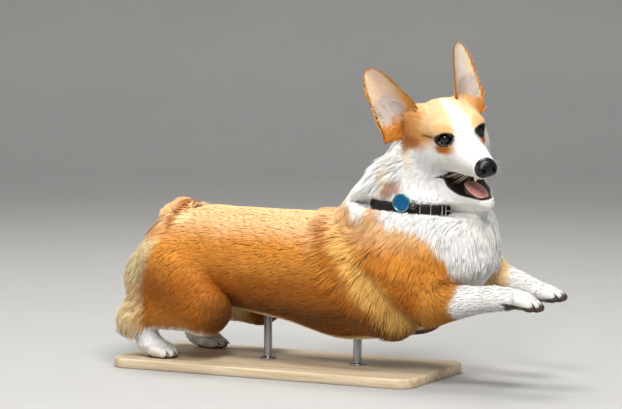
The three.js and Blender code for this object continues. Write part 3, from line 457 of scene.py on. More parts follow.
    def band(self, p: Array) -> tuple[Array, Array]:
        """How far points lie behind the saddle band's middle, and how far down it."""
        t = np.clip((206 - p[:, 2]) / 126, 0, 1.15)
        return self.band_line(t)[0] - p[:, 0], t

    def long_coat(self, p: Array) -> Array:
        """Where the coat is long, from 0 to 1: ruff, bib, saddle band, breeches and tail."""
        head = ramp(self.head_form(p), 0, 14)
        ruff = ramp(self.neck(p), 20, 4) * head
        bib = ramp(p[:, 0], 205, 240) * ramp(p[:, 2], 84, 105) * ramp(p[:, 2], 262, 250) * head
        bib = bib * ramp(self.fore_distance(p), -2, 8)
        behind, _ = self.band(p)
        band = ramp(np.abs(behind), 30, 12) * ramp(p[:, 2], 52, 70) * ramp(p[:, 2], 225, 205)
        band = band * ramp(np.abs(p[:, 1]), 30, 45)
        rump = ramp(p[:, 0] + 0.22 * (p[:, 2] - 100), -205, -226) * ramp(p[:, 2], 50, 66)
        rump = rump * (0.45 + 0.55 * ramp(p[:, 2], 172, 142))
        tail = ramp(self.tail(p), 10, 2)
        return np.max([ruff, bib, band, rump, 0.9 * tail], axis=0)

    def fore_distance(self, p: Array) -> Array:
        """The distance to the nearer foreleg."""
        return np.minimum(self.legs[2].form(p), self.legs[3].form(p))

    def soles(self, p: Array) -> Array:
        """Where the undersides of the paws are bare, from 0 to 1."""
        result = np.zeros(len(p))
        for leg in self.legs:
            sole = unit(leg.paw_at(0, 0, -1) - leg.paw_at(0, 0, 0))
            q = p - np.array(leg.paw)
            low = q @ sole - (8.0 if leg.hind else 5.2) * leg.size
            result = np.maximum(result, ramp(low, -0.4, 0.6) * (np.linalg.norm(q, axis=1) < 32))
        return result

    def skin(self, p: Array) -> Array:
        """The skin's form: the body less its coat, with lids round the eyes and the mouth open."""
        body = self.bulk(p) + self.depth(p)
        h = self.head.into(p)
        near = (np.abs(h[:, 0]) < 60) & (np.abs(h[:, 1]) < 60) & (np.abs(h[:, 2]) < 50)
        if near.any():
            q = h[near]
            face = body[near]
            for side in (-1, 1):
                centre = self.eye_centre(side)
                ball = np.linalg.norm(q - centre, axis=1)
                face = smooth_min(face, ball - self.eye_radius - self.lid, 3.0)
                local = (q - centre) @ self.eye_frame(side)
                opening = np.maximum(self.lid_opening(local), -local[:, 2])
                face = smooth_max(face, -opening, 1.2)
                face = smooth_max(face, self.eye_radius - 1.5 - ball, 1.0)
            body[near] = face
        body = smooth_max(body, -self.collar_bed(p), 6)
        body = smooth_max(body, 0.7 - p[:, 2], 0.4)
        return smooth_max(body, -self.mouth_gap(p), 3)

    def lie(self, p: Array) -> Array:
        """The way that the coat lies at points, as unit vectors before they are laid on the skin."""
        x, y, z = p[:, 0], p[:, 1], p[:, 2]
        side = np.sign(y)

        def mixed(result: Array, way: Triple | Array, amount: Array) -> Array:
            """The result with some of another way in it."""
            return result + (np.asarray(way, float) - result) * np.clip(amount, 0, 1)[:, None]

        def columns(a: Array | float, b: Array | float, c: Array | float) -> Array:
            """Three columns as one array."""
            return np.stack(np.broadcast_arrays(a, b, c, x)[:3], 1)

        result = columns(-1.0, 0.0, -0.34)
        result = mixed(result, (-1, 0, 0), ramp(z, 180, 205))
        result = mixed(result, (-1, 0, 0.1), ramp(z, 80, 62) * ramp(x, -120, -60))
        shoulder = ramp(x, 108, 165) * ramp(z, 225, 200)
        result = mixed(result, (-0.38, 0, -1), shoulder)
        result = mixed(result, columns(0.1, 0.15 * side, -1.0), ramp(x, 222, 262) * ramp(z, 90, 110))
        behind, t = self.band(p)
        along = columns(-0.75 + 0.6 * t, 0.0, -0.55 - 0.45 * t)
        band = ramp(np.abs(behind), 34, 14) * ramp(np.abs(y), 30, 50) * ramp(z, 225, 205)
        result = mixed(result, along, band)
        rump = ramp(x, -176, -216)
        result = mixed(result, columns(-0.55, 0.1 * side, -0.85), rump)
        neck = ramp(self.neck(p), 16, 2)
        result = mixed(result, columns(-0.28, 0.004 * y, -1.0), neck * ramp(z, 196, 216))
        for leg in self.legs:
            near = ramp(leg.form(p), 6, -2)
            if leg.hind:
                way = columns(-0.55, 0.05 * leg.side, -0.8)
                way = way + (np.array([0.2, 0, -1]) - way) * ramp(z, 60, 44)[:, None]
                way = way + (np.array([1.0, 0, -0.5]) - way) * ramp(z, 26, 16)[:, None]
                result = mixed(result, way, near * ramp(x, -70, -100))
            else:
                way = columns(-0.25, 0.0, -1.0)
                limb = (1.0, 0.0, -0.3) if leg.side > 0 else (1.0, 0.0, 0.05)
                way = way + (np.array(limb) - way) * ramp(x, 226, 262)[:, None]
                result = mixed(result, way, near * ramp(x, 205, 236))
        tail = ramp(self.tail(p), 6, 0) * ramp(z, 168, 184)
        result = mixed(result, columns(ramp(x, -222, -190), 0.0, 1.0), tail)
        h = self.head.into(p)
        hx, hy, hz = h[:, 0], h[:, 1], h[:, 2]
        hs = np.sign(hy)
        way = columns(-1.0, 0.25 * hs, 0.12)
        way = way + (columns(-0.85, 0.35 * hs, 0.45) - way) * (ramp(hx, 26, 4) * ramp(hz, -14, 6))[:, None]
        way = way + (columns(-1.0, 0.15 * hs, 0.0) - way) * ramp(hx, -20, -50)[:, None]
        cheek = ramp(hz, -8, -30) * ramp(hx, 18, -12)
        way = way + (columns(-0.75, 0.12 * hs, -0.62) - way) * cheek[:, None]
        jaw = ramp(hz, -52, -64)
        way = way + (columns(-0.9, 0.1 * hs, -0.4) - way) * jaw[:, None]
        on_head = ramp(self.head_form(p), 12, 0) * ramp(hx, -88, -62)
        result = mixed(result, way @ self.head.axes.T, on_head)
        return unit(result)


# Colours of the coat and of the bare skin

@dataclass(frozen=True)
class Palette:
    """The dog's colours. Some also stand for light and shade: back is laid on as a painted highlight, and the
    darker sable, shade and the ear's cup colour as painted shade.
    """

    # back, a paler orange, is also laid on the top of the back and tail as a painted highlight.
    back: tuple[int, int, int] = (246, 196, 140)
    sable: tuple[int, int, int] = (228, 148, 54)
    # The darker sable is partly the coat's own tone and partly painted shade low on the flanks and in creases;
    # shade is painted shade under the belly and also the dark line behind each eye.
    low_sable: tuple[int, int, int] = (176, 98, 16)
    shade: tuple[int, int, int] = (88, 54, 12)
    cream: tuple[int, int, int] = (250, 226, 172)
    white: tuple[int, int, int] = (253, 251, 246)
    tan: tuple[int, int, int] = (204, 134, 50)
    temple: tuple[int, int, int] = (162, 88, 12)
    brow: tuple[int, int, int] = (240, 206, 156)
    band: tuple[int, int, int] = (244, 192, 106)
    lips: tuple[int, int, int] = (26, 21, 21)
    mouth: tuple[int, int, int] = (124, 70, 50)
    pink: tuple[int, int, int] = (228, 188, 160)
    pads: tuple[int, int, int] = (62, 44, 34)
    # Painted shade in the middle of the ear's cup.
    ear_fold: tuple[int, int, int] = (176, 120, 100)
    ear_edge: tuple[int, int, int] = (255, 172, 62)


@dataclass
class Markings:
    """The places of the dog's colours, the same for skin and coat."""

    anatomy: Anatomy
    palette: Palette = field(default_factory=Palette)

    def coat(self, p: Array) -> Array:
        """The coat's linear colour at points."""
        a = self.anatomy
        pal = self.palette
        wobble = 5.0 * noise(p, 24, 11) + 2.5 * noise(p, 8, 12)
        x, y, z = p[:, 0] + wobble, p[:, 1], p[:, 2] + wobble
        out = np.abs(y)
        colour = np.repeat(linear(pal.sable)[None], len(p), 0)
        # Painted highlight: the top of the body turns to the paler back colour, as if lit from above.
        colour = paint(colour, pal.back, ramp(z, 166, 204))
        # Painted shade: the lower flank darkens towards the belly, and the belly more in the shade colour.
        colour = paint(colour, pal.low_sable, 0.9 * ramp(z, 160, 108))
        colour = paint(colour, pal.shade, 0.8 * ramp(z, 112, 72) * ramp(x, -125, -80))
        colour = paint(colour, pal.low_sable, 0.3 * ramp(noise(p, 55, 13), 0.1, 0.9))
        behind = a.band(p)[0] + wobble
        streak = 0.75 + 0.25 * noise(np.stack([p[:, 0] * 0.9, p[:, 1], p[:, 2] * 0.2], 1), 7, 14)
        band = ramp(np.abs(behind + 5), 32, 8) * ramp(z, 222, 186) * ramp(z, 60, 84) * ramp(out, 26, 50)
        colour = paint(colour, pal.band, 0.95 * band * streak)
        # Painted shade in a narrow strip just behind the saddle band.
        dark = ramp(np.abs(behind - 22), 13, 4) * ramp(z, 216, 196) * ramp(z, 110, 150) * ramp(out, 20, 44)
        colour = paint(colour, pal.low_sable, 0.75 * dark)
        dark = ramp(np.abs(behind + 52), 24, 8) * ramp(z, 206, 180) * ramp(out, 30, 50)
        colour = paint(colour, pal.low_sable, 0.55 * dark)
        colour = paint(colour, pal.cream, ramp(out, 40, 22) * ramp(z, 84, 66))

        edge = 78 + 0.5 * out
        reach = np.maximum(x - edge, 0) / np.maximum(272 - edge, 1)
        rise = np.maximum(z - 100, 0) / 122
        front = ramp(reach ** 2.4 + rise ** 2.4, 0.93, 1.05) * ramp(x - edge, 0, 8)
        white = np.maximum(front, ramp(x, 258, 274))
        white = np.maximum(white, ramp(out, 40, 24) * ramp(x, 130, 170) * ramp(z, 92, 74))
        colour = paint(colour, pal.white, white)
        chest_shade = white * ramp(z, 150, 110) * ramp(x, 300, 262)
        colour = paint(colour, pal.cream, 0.35 * chest_shade)

        near = ramp(a.legs[2].form(p), 7, 1)
        far = ramp(a.legs[3].form(p), 7, 1)
        colour = paint(colour, pal.tan, 0.8 * near * ramp(x, 214, 236) * ramp(x, 276, 262))
        colour = paint(colour, pal.band, 0.8 * far * ramp(x, 246, 264) * ramp(x, 324, 298))
        colour = paint(colour, pal.white, near * ramp(x, 262, 276))
        colour = paint(colour, pal.white, far * ramp(x, 300, 322))

        seat = ramp(x - 0.45 * np.maximum(z - 107, 0), -206, -234) * ramp(z, 184, 162)
        seat = np.maximum(seat, ramp(out, 30, 18) * ramp(x, -200, -214) * ramp(z, 172, 156))
        colour = paint(colour, pal.cream, 0.92 * seat * ramp(z, 30, 44))
        colour = paint(colour, pal.cream, 0.6 * ramp(out, 52, 40) * ramp(x, -96, -120) * ramp(z, 108, 92))
        colour = paint(colour, pal.white, ramp(z, 54, 42) * ramp(x, -96, -120))
        colour = paint(colour, pal.tan, 0.55 * ramp(z, 80, 66) * ramp(z, 48, 56) * ramp(x, -120, -140)
                       * ramp(x, -236, -206))

        mirrored = np.stack([p[:, 0], out, p[:, 2]], 1)
        # Painted highlight: the top of the tail takes the paler back colour, as if lit from above.
        colour = paint(colour, pal.back, 0.7 * ramp(a.tail(p), 10, 3) * ramp(z, 170, 186))
        # Painted shade in the crease where the tail meets the rump, darker still near the middle.
        tail_crease_shade = np.minimum(taper((-182, 6, 222), (-189, 34, 204), 0, 0)(mirrored),
                          taper((-189, 34, 204), (-178, 64, 184), 0, -3)(mirrored))
        tail_crease_shade = ramp(tail_crease_shade, 11, 4)
        colour = paint(colour, pal.low_sable, 0.9 * tail_crease_shade)
        colour = paint(colour, pal.temple, 0.8 * tail_crease_shade * ramp(out, 30, 18))
        fluff = (mirrored - np.array([-165.0, 42.0, 204.0])) / np.array([12.0, 14.0, 12.0])
        fluff = np.linalg.norm(fluff, axis=1)
        colour = paint(colour, pal.cream, 0.8 * ramp(fluff, 1.3, 0.6))
        nape = ramp(a.neck(p), 12, 0) * ramp(z, 236, 250) * ramp(np.linalg.norm(
            (p - np.array([168.0, -58.0, 262.0])) / np.array([17.0, 26.0, 11.0]), axis=1), 1.25, 0.7)
        colour = paint(colour, pal.temple, 0.8 * nape)
        side = np.linalg.norm((p - np.array([156.0, -54.0, 284.0])) / np.array([15.0, 26.0, 26.0]), axis=1)
        colour = paint(colour, pal.band, 0.5 * ramp(a.neck(p), 14, 2) * ramp(side, 1.3, 0.6))
        on_head = ramp(a.head_form(p), 10, 1) * ramp(a.head.into(p)[:, 0], -92, -72)
        return colour + (self.face(a.head.into(p)) - colour) * on_head[:, None]

    def face(self, h: Array) -> Array:
        """The coat's linear colour on the head, from points of the head's frame."""
        pal = self.palette
        wobble = 2.2 * noise(h, 13, 21) + 1.2 * noise(h, 5, 22)
        x, y, z = h[:, 0] + wobble, h[:, 1], h[:, 2] + wobble
        out = np.abs(y) + 0.6 * wobble

        def spot(centre: Triple, radii: Triple) -> Array:
            """A soft patch on both sides of the head."""
            q = (np.stack([x, np.abs(y), z], 1) - np.array(centre)) / np.array(radii)
            return ramp(np.linalg.norm(q, axis=1), 1.25, 0.6)

        colour = np.repeat(linear(pal.white)[None], len(h), 0)
        line = z - 0.34 * (x - 4) + 0.12 * np.maximum(out - 50, 0)
        crown = ramp(line, -4, 5) * ramp(x, 34, 20)
        colour = paint(colour, pal.brow, crown)
        colour = paint(colour, pal.cream, 0.7 * spot((-66, 70, -40), (36, 26, 34)))
        colour = paint(colour, pal.sable, 0.4 * crown * ramp(out, 26, 48))
        colour = paint(colour, pal.sable, 0.6 * spot((-48, 46, 26), (24, 20, 24)))
        colour = paint(colour, pal.sable, 0.55 * spot((-26, 50, -1), (38, 18, 15)))
        colour = paint(colour, pal.temple, 0.6 * spot((-40, 57, -6), (27, 18, 9)) * ramp(line, -8, 2))
        colour = paint(colour, pal.temple, 0.65 * spot((-64, 66, -16), (26, 18, 11)))
        colour = paint(colour, pal.sable, 0.95 * spot((16, 30, -12), (21, 16, 9)))
        colour = paint(colour, pal.temple, 0.75 * spot((13, 32, -13), (15, 12, 5)))
        colour = paint(colour, pal.sable, 0.5 * spot((10, 27, 16), (12, 12, 6)))
        colour = paint(colour, pal.shade, 0.8 * spot((-7, 43, 4), (14, 7, 2.2)))
        wide = np.interp(z, [-14, 0, 19, 33, 43], [20.0, 15.0, 10.5, 8.0, 5.0])
        blaze = 0.9 * ramp(out - wide, 5.0, -4.0) * ramp(x, -46, -26)
        blaze = np.maximum(blaze, ramp(x + 0.5 * z, 28, 38) * ramp(z, 6, -4))
        blaze = np.maximum(blaze, ramp(z, -18, -24) * ramp(x, -10, 6))
        colour = paint(colour, pal.white, blaze)
        return colour

    def skin(self, p: Array) -> tuple[Array, Array]:
        """The skin's linear colour, and how bare it is from 0 to 1.

        Args:
            p: Points on the skin.

        Returns:
            Colours in three columns, and the bareness.
        """
        a = self.anatomy
        pal = self.palette
        # Painted shade: the skin is painted a little darker than the coat over it, as in the shade under the
        # hair.
        colour = self.coat(p) * 0.86
        gap = a.mouth_gap(p)
        near = ramp(a.head_form(p), 12, 6)
        outline = a.bulk(p)
        lips = ramp(gap, 2.8, 1.4) * near
        inside = ramp(outline, -3.4, -5.0) * ramp(gap, 3.0, 1.0) * near
        colour = paint(paint(colour, pal.lips, lips), pal.mouth, inside)
        h = a.head.into(p)
        rims = np.zeros(len(p))
        for side in (-1, 1):
            centre = a.eye_centre(side)
            local = (h - centre) @ a.eye_frame(side)
            close = ramp(np.linalg.norm(h - centre, axis=1), 20.0, 18.5) * (local[:, 2] > -2)
            wide = np.hypot(local[:, 0] / 15.2, (local[:, 1] - 0.6) / 10.4)
            rims = np.maximum(rims, ramp(wide, 1.07, 0.98) * close)
        soles = a.soles(p)
        colour = paint(paint(colour, pal.lips, rims), pal.pads, soles)
        return colour, np.max([lips, inside, rims, soles], axis=0)


# Grids, meshes and their attributes

@dataclass
class FieldGrid:
    """A form read on an uneven grid, finer round the head, for a smooth mesh and for quick readings."""

    form: Form
    lines: tuple[Array, Array, Array]
    margin: float = 15.0

    def __post_init__(self) -> None:
        """Reads the form coarsely everywhere and in full near its surface."""
        coarse = [np.arange(0, len(line) + 3, 4).clip(max=len(line) - 1) for line in self.lines]
        coarse = [np.unique(index) for index in coarse]
        nodes = np.stack(np.meshgrid(*[l[i] for l, i in zip(self.lines, coarse)], indexing="ij"), -1)
        values = self.form(nodes.reshape(-1, 3)).reshape(nodes.shape[:3]).astype(np.float32)
        for axis, index in enumerate(coarse):
            line = self.lines[axis]
            right = np.clip(np.searchsorted(index, np.arange(len(line)), side="left"), 1, len(index) - 1)
            a, b = line[index[right - 1]], line[index[right]]
            t = ((line - a) / (b - a)).astype(np.float32)
            shape = [1, 1, 1]
            shape[axis] = len(line)
            t = t.reshape(shape)
            values = np.take(values, right - 1, axis) * (1 - t) + np.take(values, right, axis) * t
        near = np.argwhere(np.abs(values) < self.margin)
        for part in np.array_split(near, max(1, len(near) // 200000)):
            points = np.stack([self.lines[i][part[:, i]] for i in range(3)], 1)
            values[part[:, 0], part[:, 1], part[:, 2]] = self.form(points)
        self.values = values
        self.slopes = [g.astype(np.float32) for g in np.gradient(values, *self.lines)]

    def read(self, p: Array) -> tuple[Array, Array]:
        """The form's distance and unit slope at points, from the grid.

        Args:
            p: Points in three columns.

        Returns:
            The distances, and the slopes in three columns.
        """
        low, t = [], []
        for axis, line in enumerate(self.lines):
            i = np.clip(np.searchsorted(line, p[:, axis]) - 1, 0, len(line) - 2)
            low.append(i)
            t.append(np.clip((p[:, axis] - line[i]) / (line[i + 1] - line[i]), 0, 1))
        total = np.zeros((len(p), 4))
        for a in (0, 1):
            for b in (0, 1):
                for c in (0, 1):
                    w = (t[0] if a else 1 - t[0]) * (t[1] if b else 1 - t[1]) * (t[2] if c else 1 - t[2])
                    place = (low[0] + a, low[1] + b, low[2] + c)
                    total[:, 0] += w * self.values[place]
                    for axis in range(3):
                        total[:, axis + 1] += w * self.slopes[axis][place]
        return total[:, 0], unit(total[:, 1:])

    def surface(self, passes: int = 3) -> tuple[Array, Array]:
        """The form's surface as one closed mesh.

        Args:
            passes: How often the points are moved to the exact surface.

        Returns:
            Points in three columns, and faces of four points.
        """
        inside = self.values < 0
        count = np.zeros(tuple(n - 1 for n in inside.shape), np.int8)
        offsets = [(a, b, c) for a in (0, 1) for b in (0, 1) for c in (0, 1)]
        for a, b, c in offsets:
            count += inside[a:a + count.shape[0], b:b + count.shape[1], c:c + count.shape[2]]
        cells = np.argwhere((count > 0) & (count < 8))
        number = np.full(count.shape, -1, np.int64)
        number[cells[:, 0], cells[:, 1], cells[:, 2]] = np.arange(len(cells))
        corner, place = [], []
        for offset in offsets:
            index = cells + np.array(offset)
            corner.append(self.values[tuple(index.T)])
            place.append(np.stack([line[i] for line, i in zip(self.lines, index.T)], 1))
        corner, place = np.stack(corner, 1), np.stack(place, 1)
        total = np.zeros((len(cells), 3))
        hits = np.zeros(len(cells))
        for i in range(8):
            for j in range(i + 1, 8):
                if sum(u != v for u, v in zip(offsets[i], offsets[j])) != 1:
                    continue
                crossed = (corner[:, i] < 0) != (corner[:, j] < 0)
                t = np.where(crossed, corner[:, i] / np.where(crossed, corner[:, i] - corner[:, j], 1), 0)
                total += np.where(crossed[:, None], place[:, i] + t[:, None] * (place[:, j] - place[:, i]), 0)
                hits += crossed
        points = total / hits[:, None]
        faces = []
        ways = (((0, -1, -1), (0, 0, -1), (0, 0, 0), (0, -1, 0)),
                ((-1, 0, -1), (-1, 0, 0), (0, 0, 0), (0, 0, -1)),
                ((-1, -1, 0), (0, -1, 0), (0, 0, 0), (-1, 0, 0)))
        for axis, ring in enumerate(ways):
            shift = [slice(0, -1) if i == axis else slice(1, -1) for i in range(3)]
            ahead = [slice(1, None) if i == axis else slice(1, -1) for i in range(3)]
            here, there = inside[tuple(shift)], inside[tuple(ahead)]
            for flip in (False, True):
                edges = np.argwhere((here != there) & (here == (not flip)))
                edges = edges + np.array([0 if i == axis else 1 for i in range(3)])
                quad = np.stack([number[tuple((edges + np.array(r)).T)] for r in ring], 1)
                faces.append(quad[:, ::-1] if flip else quad)
        for _ in range(passes):
            step = 0.4
            slope = np.stack([self.form(points + step * axis) - self.form(points - step * axis)
                              for axis in np.eye(3)], 1) / (2 * step)
            move = self.form(points) / np.maximum((slope ** 2).sum(1), 0.3)
            points = points - np.clip(move, -0.8, 0.8)[:, None] * slope
        return points, np.concatenate(faces)


def spaced(*stretches: tuple[float, float, float]) -> Array:
    """Grid lines over stretches that follow each other, each given by its start, end and spacing."""
    lines = [np.arange(a, b - 0.5 * step, step) for a, b, step in stretches]
    return np.concatenate(lines + [[stretches[-1][1]]])


def to_row(p: Array) -> Array:
    """Points of the dog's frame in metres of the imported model's frame."""
    return (np.asarray(p, float) + ROW_SHIFT) / 1000.0


def linked(name: str, data: bpy.types.ID) -> bpy.types.Object:
    """An object of the data, linked to the scene."""
    made = bpy.data.objects.new(name, data)
    bpy.context.scene.collection.objects.link(made)
    return made


def start_mesh(name: str, points: Array, edges: list[tuple[int, int]]) -> bpy.types.Object:
    """Points and edges of the dog's frame as an object that geometry nodes start from."""
    mesh = bpy.data.meshes.new(name)
    mesh.from_pydata([Vector(p) for p in to_row(points)], edges, [])
    return linked(name, mesh)


def mesh_object(name: str, points: Array, faces: Array, material: bpy.types.Material, *,
                colours: Array | None = None, bare: Array | None = None, normals: Array | None = None,
                uvs: Array | None = None) -> bpy.types.Object:
    """Makes an object from arrays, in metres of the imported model's frame.

    Args:
        name: The object's name.
        points: Points in three columns, in metres.
        faces: Faces of three or four points each.
        material: What it is made of.
        colours: Linear colours for the points, kept as the attribute "hue".
        bare: How bare the points are, kept as the attribute "bare".
        normals: Normals for the points that take the place of the faces' own.
        uvs: Two columns for the points, kept as the map OFBake.

    Returns:
        The object, linked to the scene.
    """
    mesh = bpy.data.meshes.new(name)
    sides = faces.shape[1]
    mesh.vertices.add(len(points))
    mesh.vertices.foreach_set("co", np.ascontiguousarray(points, np.float32).ravel())
    mesh.loops.add(faces.size)
    mesh.loops.foreach_set("vertex_index", np.ascontiguousarray(faces, np.int32).ravel())
    mesh.polygons.add(len(faces))
    mesh.polygons.foreach_set("loop_start", np.arange(0, faces.size, sides, dtype=np.int32))
    mesh.polygons.foreach_set("use_smooth", np.full(len(faces), True))
    if uvs is not None:
        layer = mesh.uv_layers.new(name="OFBake")
        layer.data.foreach_set("uv", np.ascontiguousarray(uvs[faces.ravel()], np.float32).ravel())
    if colours is not None:
        attribute = mesh.attributes.new("hue", "FLOAT_COLOR", "POINT")
        full = np.concatenate([colours, np.ones((len(colours), 1))], 1)
        attribute.data.foreach_set("color", np.ascontiguousarray(full, np.float32).ravel())
    if bare is not None:
        attribute = mesh.attributes.new("bare", "FLOAT", "POINT")
        attribute.data.foreach_set("value", np.ascontiguousarray(bare, np.float32))
    mesh.update(calc_edges=True)
    mesh.validate()
    if normals is not None:
        mesh.normals_split_custom_set_from_vertices(unit(normals).astype(np.float32))
    mesh.materials.append(material)
    return linked(name, mesh)


def turned_mesh(name: str, form: Form, lines: tuple[Array, Array, Array], place: Callable[[Array], Array],
                material: bpy.types.Material) -> bpy.types.Object:
    """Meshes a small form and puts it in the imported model's frame.

    Args:
        name: The object's name.
        form: The distance form in a frame of its own.
        lines: The grid lines that it is read on.
        place: Turns points of that frame into points of the dog's frame.
        material: What it is made of.

    Returns:
        The object.
    """
    grid = FieldGrid(form, lines, margin=4.0)
    points, faces = grid.surface()
    return mesh_object(name, to_row(place(points)), faces, material)


def loft(rings: Array, *, around: bool = True, along: bool = False, caps: bool = True) -> tuple[Array, Array]:
    """Faces over rings of equal count.

    Args:
        rings: Points by ring, by place in the ring, by coordinate.
        around: Whether each ring is closed.
        along: Whether the last ring joins the first.
        caps: Whether the first and last ring get a fan over them.

    Returns:
        Points in three columns, and faces of four points, where a fan's triangle repeats its last point.
    """
    rows, count = rings.shape[:2]
    i = np.arange(rows if along else rows - 1)[:, None]
    j = np.arange(count if around else count - 1)[None]
    a, b = i * count + j, i * count + (j + 1) % count
    c, d = (i + 1) % rows * count + (j + 1) % count, (i + 1) % rows * count + j
    faces = [np.stack(np.broadcast_arrays(a, b, c, d), -1).reshape(-1, 4)]
    points = rings.reshape(-1, 3)
    if caps and not along:
        first, last = len(points), len(points) + 1
        points = np.concatenate([points, rings[:1].mean(1), rings[-1:].mean(1)])
        j = np.arange(count)
        k = (j + 1) % count
        faces.append(np.stack([k, j, np.full(count, first), np.full(count, first)], 1))
        base = (rows - 1) * count
        faces.append(np.stack([base + j, base + k, np.full(count, last), np.full(count, last)], 1))
    return points, np.concatenate(faces)


def triangles(faces: Array) -> Array:
    """Faces of four points as triangles, without those that have no area."""
    both_halves = np.concatenate([faces[:, [0, 1, 2]], faces[:, [0, 2, 3]]])
    a, b, c = both_halves.T
    return both_halves[(a != b) & (b != c) & (c != a)]


def outward(points: Array, faces: Array) -> Array:
    """A closed mesh's triangles, all turned over if they face inwards."""
    tri = triangles(faces)
    a, b, c = (points[tri[:, i]] - points.mean(0) for i in range(3))
    inwards = np.einsum("ij,ij->i", a, np.cross(b, c)).sum() < 0
    return tri[:, ::-1] if inwards else tri


def sweep(path: Array, ups: Array, section: Array, closed: bool) -> Array:
    """Rings of a section carried along a path.

    Args:
        path: The path's points.
        ups: The section's up direction at each point.
        section: The section's points, across and up.
        closed: Whether the path closes on itself.

    Returns:
        The rings, for loft.
    """
    if closed:
        ahead = np.roll(path, -1, 0) - np.roll(path, 1, 0)
    else:
        ahead = np.gradient(path, axis=0)
    tangent = unit(ahead)
    across = unit(np.cross(ups, tangent))
    up = np.cross(tangent, across)
    return path[:, None] + across[:, None] * section[None, :, :1] + up[:, None] * section[None, :, 1:]


def circle(radius: float, count: int) -> Array:
    """A circle's points, across and up."""
    a = np.linspace(0, 2 * math.pi, count, endpoint=False)
    return radius * np.stack([np.cos(a), np.sin(a)], 1)


def rounded_box(width: float, height: float, corner: float, steps: int = 4) -> Array:
    """The outline of a rectangle with round corners."""
    points = []
    for k, (sx, sy) in enumerate(((1, 1), (-1, 1), (-1, -1), (1, -1))):
        for a in np.linspace(k * 90, k * 90 + 90, steps + 1):
            points.append((sx * (width / 2 - corner) + corner * math.cos(math.radians(a)),
                           sy * (height / 2 - corner) + corner * math.sin(math.radians(a))))
    return np.array(points)


def lathe(profile: Sequence[tuple[float, float]], count: int = 40) -> Array:
    """Rings round the z axis from a profile of radius and height."""
    ring = np.concatenate([circle(1.0, count), np.zeros((count, 1))], 1)
    return np.array([ring * [r, r, 1] + [0, 0, z] for r, z in profile])


def solid_object(name: str, parts: Sequence[tuple[Array, Array]], place: Callable[[Array], Array],
                 material: bpy.types.Material,
                 colours: Callable[[Array], Array] | None = None) -> bpy.types.Object:
    """Joins lofted parts to one object with its faces outwards.

    Args:
        name: The object's name.
        parts: Points and faces of each part.
        place: Turns the points into points of the dog's frame.
        material: What it is made of.
        colours: Gives the points their colours, from the dog's frame.

    Returns:
        The object.
    """
    points, faces, start = [], [], 0
    for part_points, part_faces in parts:
        points.append(part_points)
        faces.append(outward(part_points, part_faces) + start)
        start += len(part_points)
    placed = place(np.concatenate(points))
    hue = colours(placed) if colours else None
    return mesh_object(name, to_row(placed), np.concatenate(faces), material, colours=hue)


# Shader sums and nodes

NodeTree = bpy.types.NodeTree
Socket = bpy.types.NodeSocket


class Value:
    """A shader socket that sums can be written with, as with a number."""

    def __init__(self, tree: "Graph", socket: Socket) -> None:
        """Keeps the socket and the graph that it is in."""
        self.tree = tree
        self.socket = socket

    def _sum(self, operation: str, a: object, b: object) -> "Value":
        """One step of a sum as a node."""
        made = self.tree.node("ShaderNodeMath", {"operation": operation}, {0: a, 1: b})
        return Value(self.tree, made.outputs[0])

    def __add__(self, other: object) -> "Value":
        """This plus the other."""
        return self._sum("ADD", self, other)

    __radd__ = __add__

    def __sub__(self, other: object) -> "Value":
        """This less the other."""
        return self._sum("SUBTRACT", self, other)

    def __rsub__(self, other: object) -> "Value":
        """The other less this."""
        return self._sum("SUBTRACT", other, self)

    def __mul__(self, other: object) -> "Value":
        """This times the other."""
        return self._sum("MULTIPLY", self, other)

    __rmul__ = __mul__

    def __pow__(self, other: object) -> "Value":
        """This to the power of the other."""
        return self._sum("POWER", self, other)


